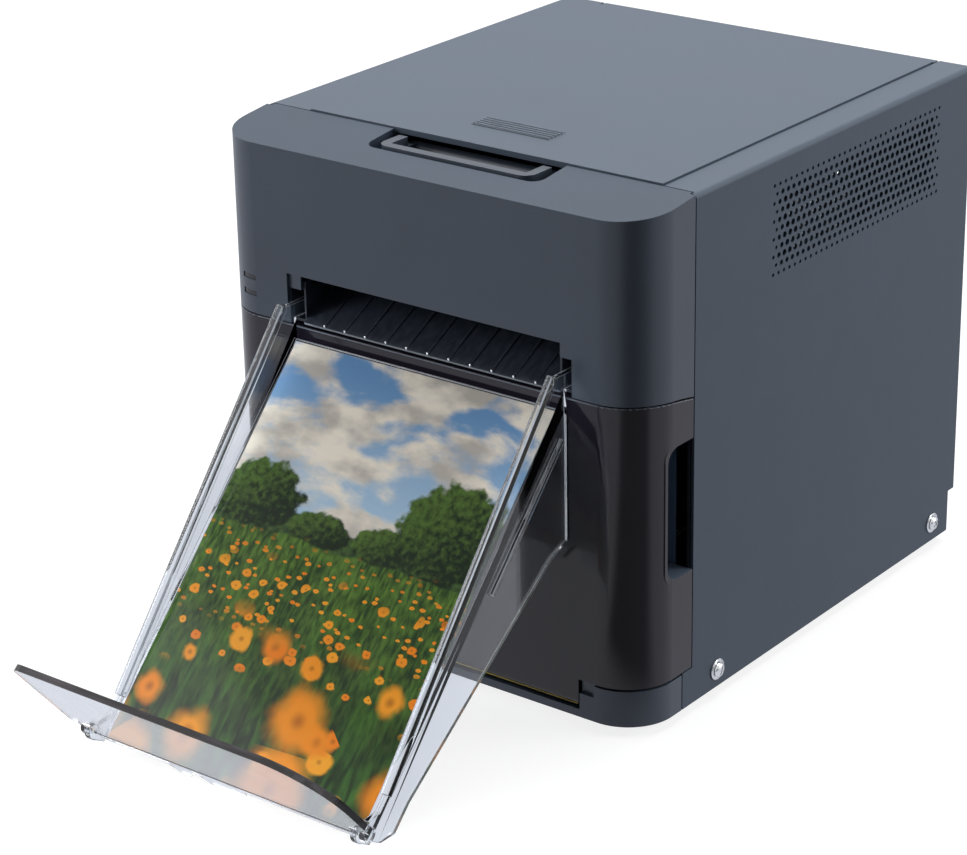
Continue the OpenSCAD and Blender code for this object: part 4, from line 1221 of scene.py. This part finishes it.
# Thin black strips on the lid at the foot of each ridge: painted shadow.
grown(
    "ridge_grooves",
    "lid_body",
    {
        "Piece": draft_object(
            "ridge_groove", block("ridge_groove", (36.4, 0.62, 0.12), 0.03)
        ),
        "Count": 6, "Start": spot(PATH_X, 54.6 - 1.02, LID_TOP + 0.02),
        "Step": Vector((0, RIDGE_STEP, 0)) * MM, "Material": FINISH["black_plastic"],
    },
    in_row,
)


def strip(name, size, edge, x, y, z, material):
    """A soft-edged bar fixed to the casing. Its middle is at (x, y, z)."""
    mesh = block(name, size, edge, (x, 0, z))
    mesh.transform(Matrix.Translation(spot(0, y, 0)))
    piece(name, even_shade(mesh, name), "casing", material)


BACKING_SHEEN = moulded("pocket_backing", srgb(112, 134, 160), 0.5, grain=0.6).material
for side, tag in ((-1, "left"), (1, "right")):
    # a black strip in the seam at each side cover's front edge: painted shade in the
    # gap
    strip(
        "cover_gasket_" + tag, (1.2, 0.56, 182), 0.1, side * (SIDE_X - 2.1), 33.1, 111,
        FINISH["black_plastic"],
    )
    # closes the view behind the door's finger pocket; its pale blue paints the sheen on
    # the pocket's rear wall
    strip(
        "pocket_backing_" + tag, (5.2, 0.8, 58), 0.15, side * (SIDE_X - 11), 34.3, 87,
        BACKING_SHEEN,
    )

# ------------------------------------------------------------------ back and inside
grown(
    "inlet_blades",
    "casing",
    {
        "Piece": draft_object("inlet_blade", block("inlet_blade", (2.1, 11, 4.5), 0.5)),
        "Material": FINISH["zinc"],
    },
    lambda given: put_on(given, model_of(given, "Piece"), given),
    [spot(x, REAR_Y - 8.2, BASE_Z + z) for x, z in ((55, 40), (69, 40), (62, 45))],
)
grown(
    "port_contacts",
    "casing",
    {
        "Piece": draft_object(
            "port_contact", block("port_contact", (0.8, 9, 0.3), 0.1)
        ),
        "Count": 4, "Start": spot(-46 - 2.1, REAR_Y - 7, BASE_Z + 40 + 1.65),
        "Step": Vector((1.4, 0, 0)) * MM, "Material": FINISH["brass"],
    },
    in_row,
)


def scattered(given):
    """The piece on each place, in random sizes."""
    size = given.node(
        "FunctionNodeRandomValue",
        {"data_type": "FLOAT"},
        {2: given.out("Least"), 3: given.out("Most"), 8: given.out("Seed")},
        1,
    )
    scale = xyz(given, size, 1.0, size)
    return put_on(given, model_of(given, "Piece"), given, None, scale)


BOARD_Y = 210  # the board's front face
grown(
    "board_chips",
    "casing",
    {
        "Piece": draft_object(
            "board_chip", block("board_chip", (9, 1.8, 9), 0.25, (0, -0.9, 0))
        ),
        "Least": 0.55, "Most": 1.5, "Seed": 5, "Material": FINISH["black_plastic"],
    },
    scattered,
    [
        spot(x, BOARD_Y, z)
        for x, z in (
            (-58, 92), (-40, 78), (-22, 96), (-6, 70), (14, 88), (32, 74), (-50, 46),
            (-28, 56), (6, 44), (30, 50), (-64, 66), (-12, 48),
        )
    ],
)


def can(name, radius, tall):
    """A capacitor that stands out along -Y: a sleeved can with a pinched foot."""
    mesh = lathe(
        name,
        [
            (0, 0), (0, radius - 0.4), (0.4, radius), (1.6, radius), (2, radius - 0.35),
            (2.5, radius), (tall - 0.5, radius), (tall, radius - 0.6),
            (tall - 0.15, radius - 1.1), (tall - 0.15, 0),
        ],
    )
    mesh.transform(Euler((0, 0, -math.pi / 2)).to_matrix().to_4x4())
    return draft_object(name, mesh)


grown(
    "board_cans",
    "casing",
    {
        "Piece": can("board_can", 3.6, 11), "Least": 0.7, "Most": 1.25, "Seed": 3,
        "Material": FINISH["alloy"],
    },
    scattered,
    [
        spot(x, BOARD_Y, z)
        for x, z in ((-46, 100), (-33, 100), (2, 100), (36, 96), (36, 84))
    ],
)
grown(
    "board_sockets",
    "casing",
    {
        "Piece": draft_object(
            "board_socket", block("board_socket", (11, 6, 5), 0.5, (0, -3, 0))
        ),
        "Count": 5, "Start": spot(-62, BOARD_Y, 36), "Step": Vector((18, 0, 0)) * MM,
        "Material": FINISH["ivory"],
    },
    in_row,
)

# ------------------------------------------------------------------ light and camera
world = bpy.data.worlds.new("studio")
bpy.context.scene.world = world
world.use_nodes = True
air = Wire(world.node_tree)
SOFT_LEVEL = 0.06
DARK_SIDE = math.radians(54)  # the dim end of the studio, which glossy faces mirror
DIM_LEVEL = 0.24
path = air.node("ShaderNodeLightPath")
way = air.node("ShaderNodeTexCoord", None, None, "Generated")
facing = air.node(
    "ShaderNodeVectorMath",
    {"operation": "DOT_PRODUCT"},
    {0: way, 1: (math.sin(DARK_SIDE), -math.cos(DARK_SIDE), 0)},
    "Value",
)
mirrored = path.out("Is Glossy Ray") * facing.ramp(0.8, 0.95, 1, DIM_LEVEL)
seen = path | mirrored | path.out("Is Transmission Ray")
sky = world.node_tree.nodes["Background"]
sky.inputs["Color"].default_value = (1, 1, 1, 1)
world.node_tree.links.new(
    (seen * (1 - SOFT_LEVEL) + SOFT_LEVEL).socket, sky.inputs["Strength"]
)


def lamp(name, place, aim, wide, high, power):
    """A soft studio panel that points at a spot on the object."""
    light = bpy.data.lights.new(name, "AREA")
    light.shape = "RECTANGLE"
    light.size, light.size_y = wide, high
    light.energy = power
    thing = bpy.data.objects.new(name, light)
    thing.location = place
    thing.rotation_euler = (
        (Vector(aim) - Vector(place)).to_track_quat("-Z", "Y").to_euler()
    )
    bpy.context.scene.collection.objects.link(thing)
    return thing


lamp("panel_above", (-0.1, 0.35, 1.5), (0, 0, 0.1), 1.2, 1.2, 20)
lamp("panel_left", (-1.4, -1.1, 0.7), (0, -0.05, 0.1), 0.8, 1.1, 15)
lamp("panel_right", (1.48, 1.0, 0.75), (0, 0.05, 0.1), 0.8, 1.1, 14)


FLOOR_REACH = 14.0  # from the middle to each side, in metres
FLOOR_GAP = 0.0002  # between the sheet and the feet, in metres
FLOOR_MIRROR = 0.85  # how bright glossy faces see the sheet


def studio_floor():
    """A wide pale sheet. The camera sees it white, with the object's shadow on it."""
    mesh = bpy.data.meshes.new("floor")
    corners = ((-1, -1), (1, -1), (1, 1), (-1, 1))
    mesh.from_pydata(
        [(x * FLOOR_REACH, y * FLOOR_REACH, 0) for x, y in corners], [], [(0, 1, 2, 3)]
    )
    made = bpy.data.objects.new("floor", mesh)
    made.location = (0, 0, -FLOOR_GAP)
    bpy.context.scene.collection.objects.link(made)
    look = bpy.data.materials.new("floor_paper")
    look.use_nodes = True
    tree = look.node_tree
    tree.nodes.remove(tree.nodes["Principled BSDF"])
    start = Wire(tree)
    seen = start.node("ShaderNodeLightPath")
    shown = seen | seen.out("Is Transmission Ray")
    matt = start.node("ShaderNodeBsdfDiffuse", None, {"Color": (0.03, 0.03, 0.03, 1)})
    pale = start.node("ShaderNodeBsdfDiffuse", None, {"Color": (0.35, 0.35, 0.35, 1)})
    glow = start.node(
        "ShaderNodeEmission", None, {"Color": (1, 1, 1, 1), "Strength": 0.82}
    )
    white = start.node("ShaderNodeAddShader", None, {0: pale, 1: glow})
    # glossy faces mirror a sheet that dims towards the studio's dark end
    where = start.node("ShaderNodeTexCoord", None, None, "Object")
    outward = start.node("ShaderNodeVectorMath", {"operation": "NORMALIZE"}, {0: where})
    ahead = start.node(
        "ShaderNodeVectorMath",
        {"operation": "DOT_PRODUCT"},
        {0: outward, 1: (math.sin(DARK_SIDE), -math.cos(DARK_SIDE), 0)},
        "Value",
    )
    away = start.node(
        "ShaderNodeVectorMath", {"operation": "LENGTH"}, {0: where}, "Value"
    )
    dark = ahead.ramp(0.86, 0.965) * away.ramp(0.11, 0.16)
    mirror = start.node(
        "ShaderNodeEmission",
        None,
        {
            "Color": (0.9, 0.92, 1, 1),
            "Strength": FLOOR_MIRROR - dark * (FLOOR_MIRROR - DIM_LEVEL),
        },
    )
    both = start.node("ShaderNodeMixShader", None, {0: shown, 1: matt, 2: white})
    both = start.node(
        "ShaderNodeMixShader", None, {0: seen.out("Is Glossy Ray"), 1: both, 2: mirror}
    )
    tree.links.new(both.socket, tree.nodes["Material Output"].inputs["Surface"])
    mesh.materials.append(look)


studio_floor()

# the camera looks from where the picture was taken
CAMERA_AT = (0.65806, -0.84285, 0.53632)
CAMERA_AZ, CAMERA_EL, CAMERA_ROLL = 38.03, 22.63, -1.11
CAMERA_LENS = 111.92


def aim_camera():
    az, el, roll = (math.radians(a) for a in (CAMERA_AZ, CAMERA_EL, CAMERA_ROLL))
    back = Vector(
        (math.sin(az) * math.cos(el), -math.cos(az) * math.cos(el), math.sin(el))
    )
    right = Vector((0, 0, 1)).cross(back).normalized()
    up = back.cross(right)
    side = math.cos(roll) * right + math.sin(roll) * up
    top = math.cos(roll) * up - math.sin(roll) * right
    turn = Matrix((side, top, back)).transposed()
    camera = bpy.data.cameras.new("camera")
    camera.lens = CAMERA_LENS
    camera.sensor_width = 36
    camera.sensor_fit = "HORIZONTAL"
    camera.clip_start, camera.clip_end = 0.05, 60
    thing = bpy.data.objects.new("camera", camera)
    thing.matrix_world = Matrix.Translation(CAMERA_AT) @ turn.to_4x4()
    bpy.context.scene.collection.objects.link(thing)
    bpy.context.scene.camera = thing


aim_camera()
bpy.context.scene.view_settings.view_transform = "Standard"
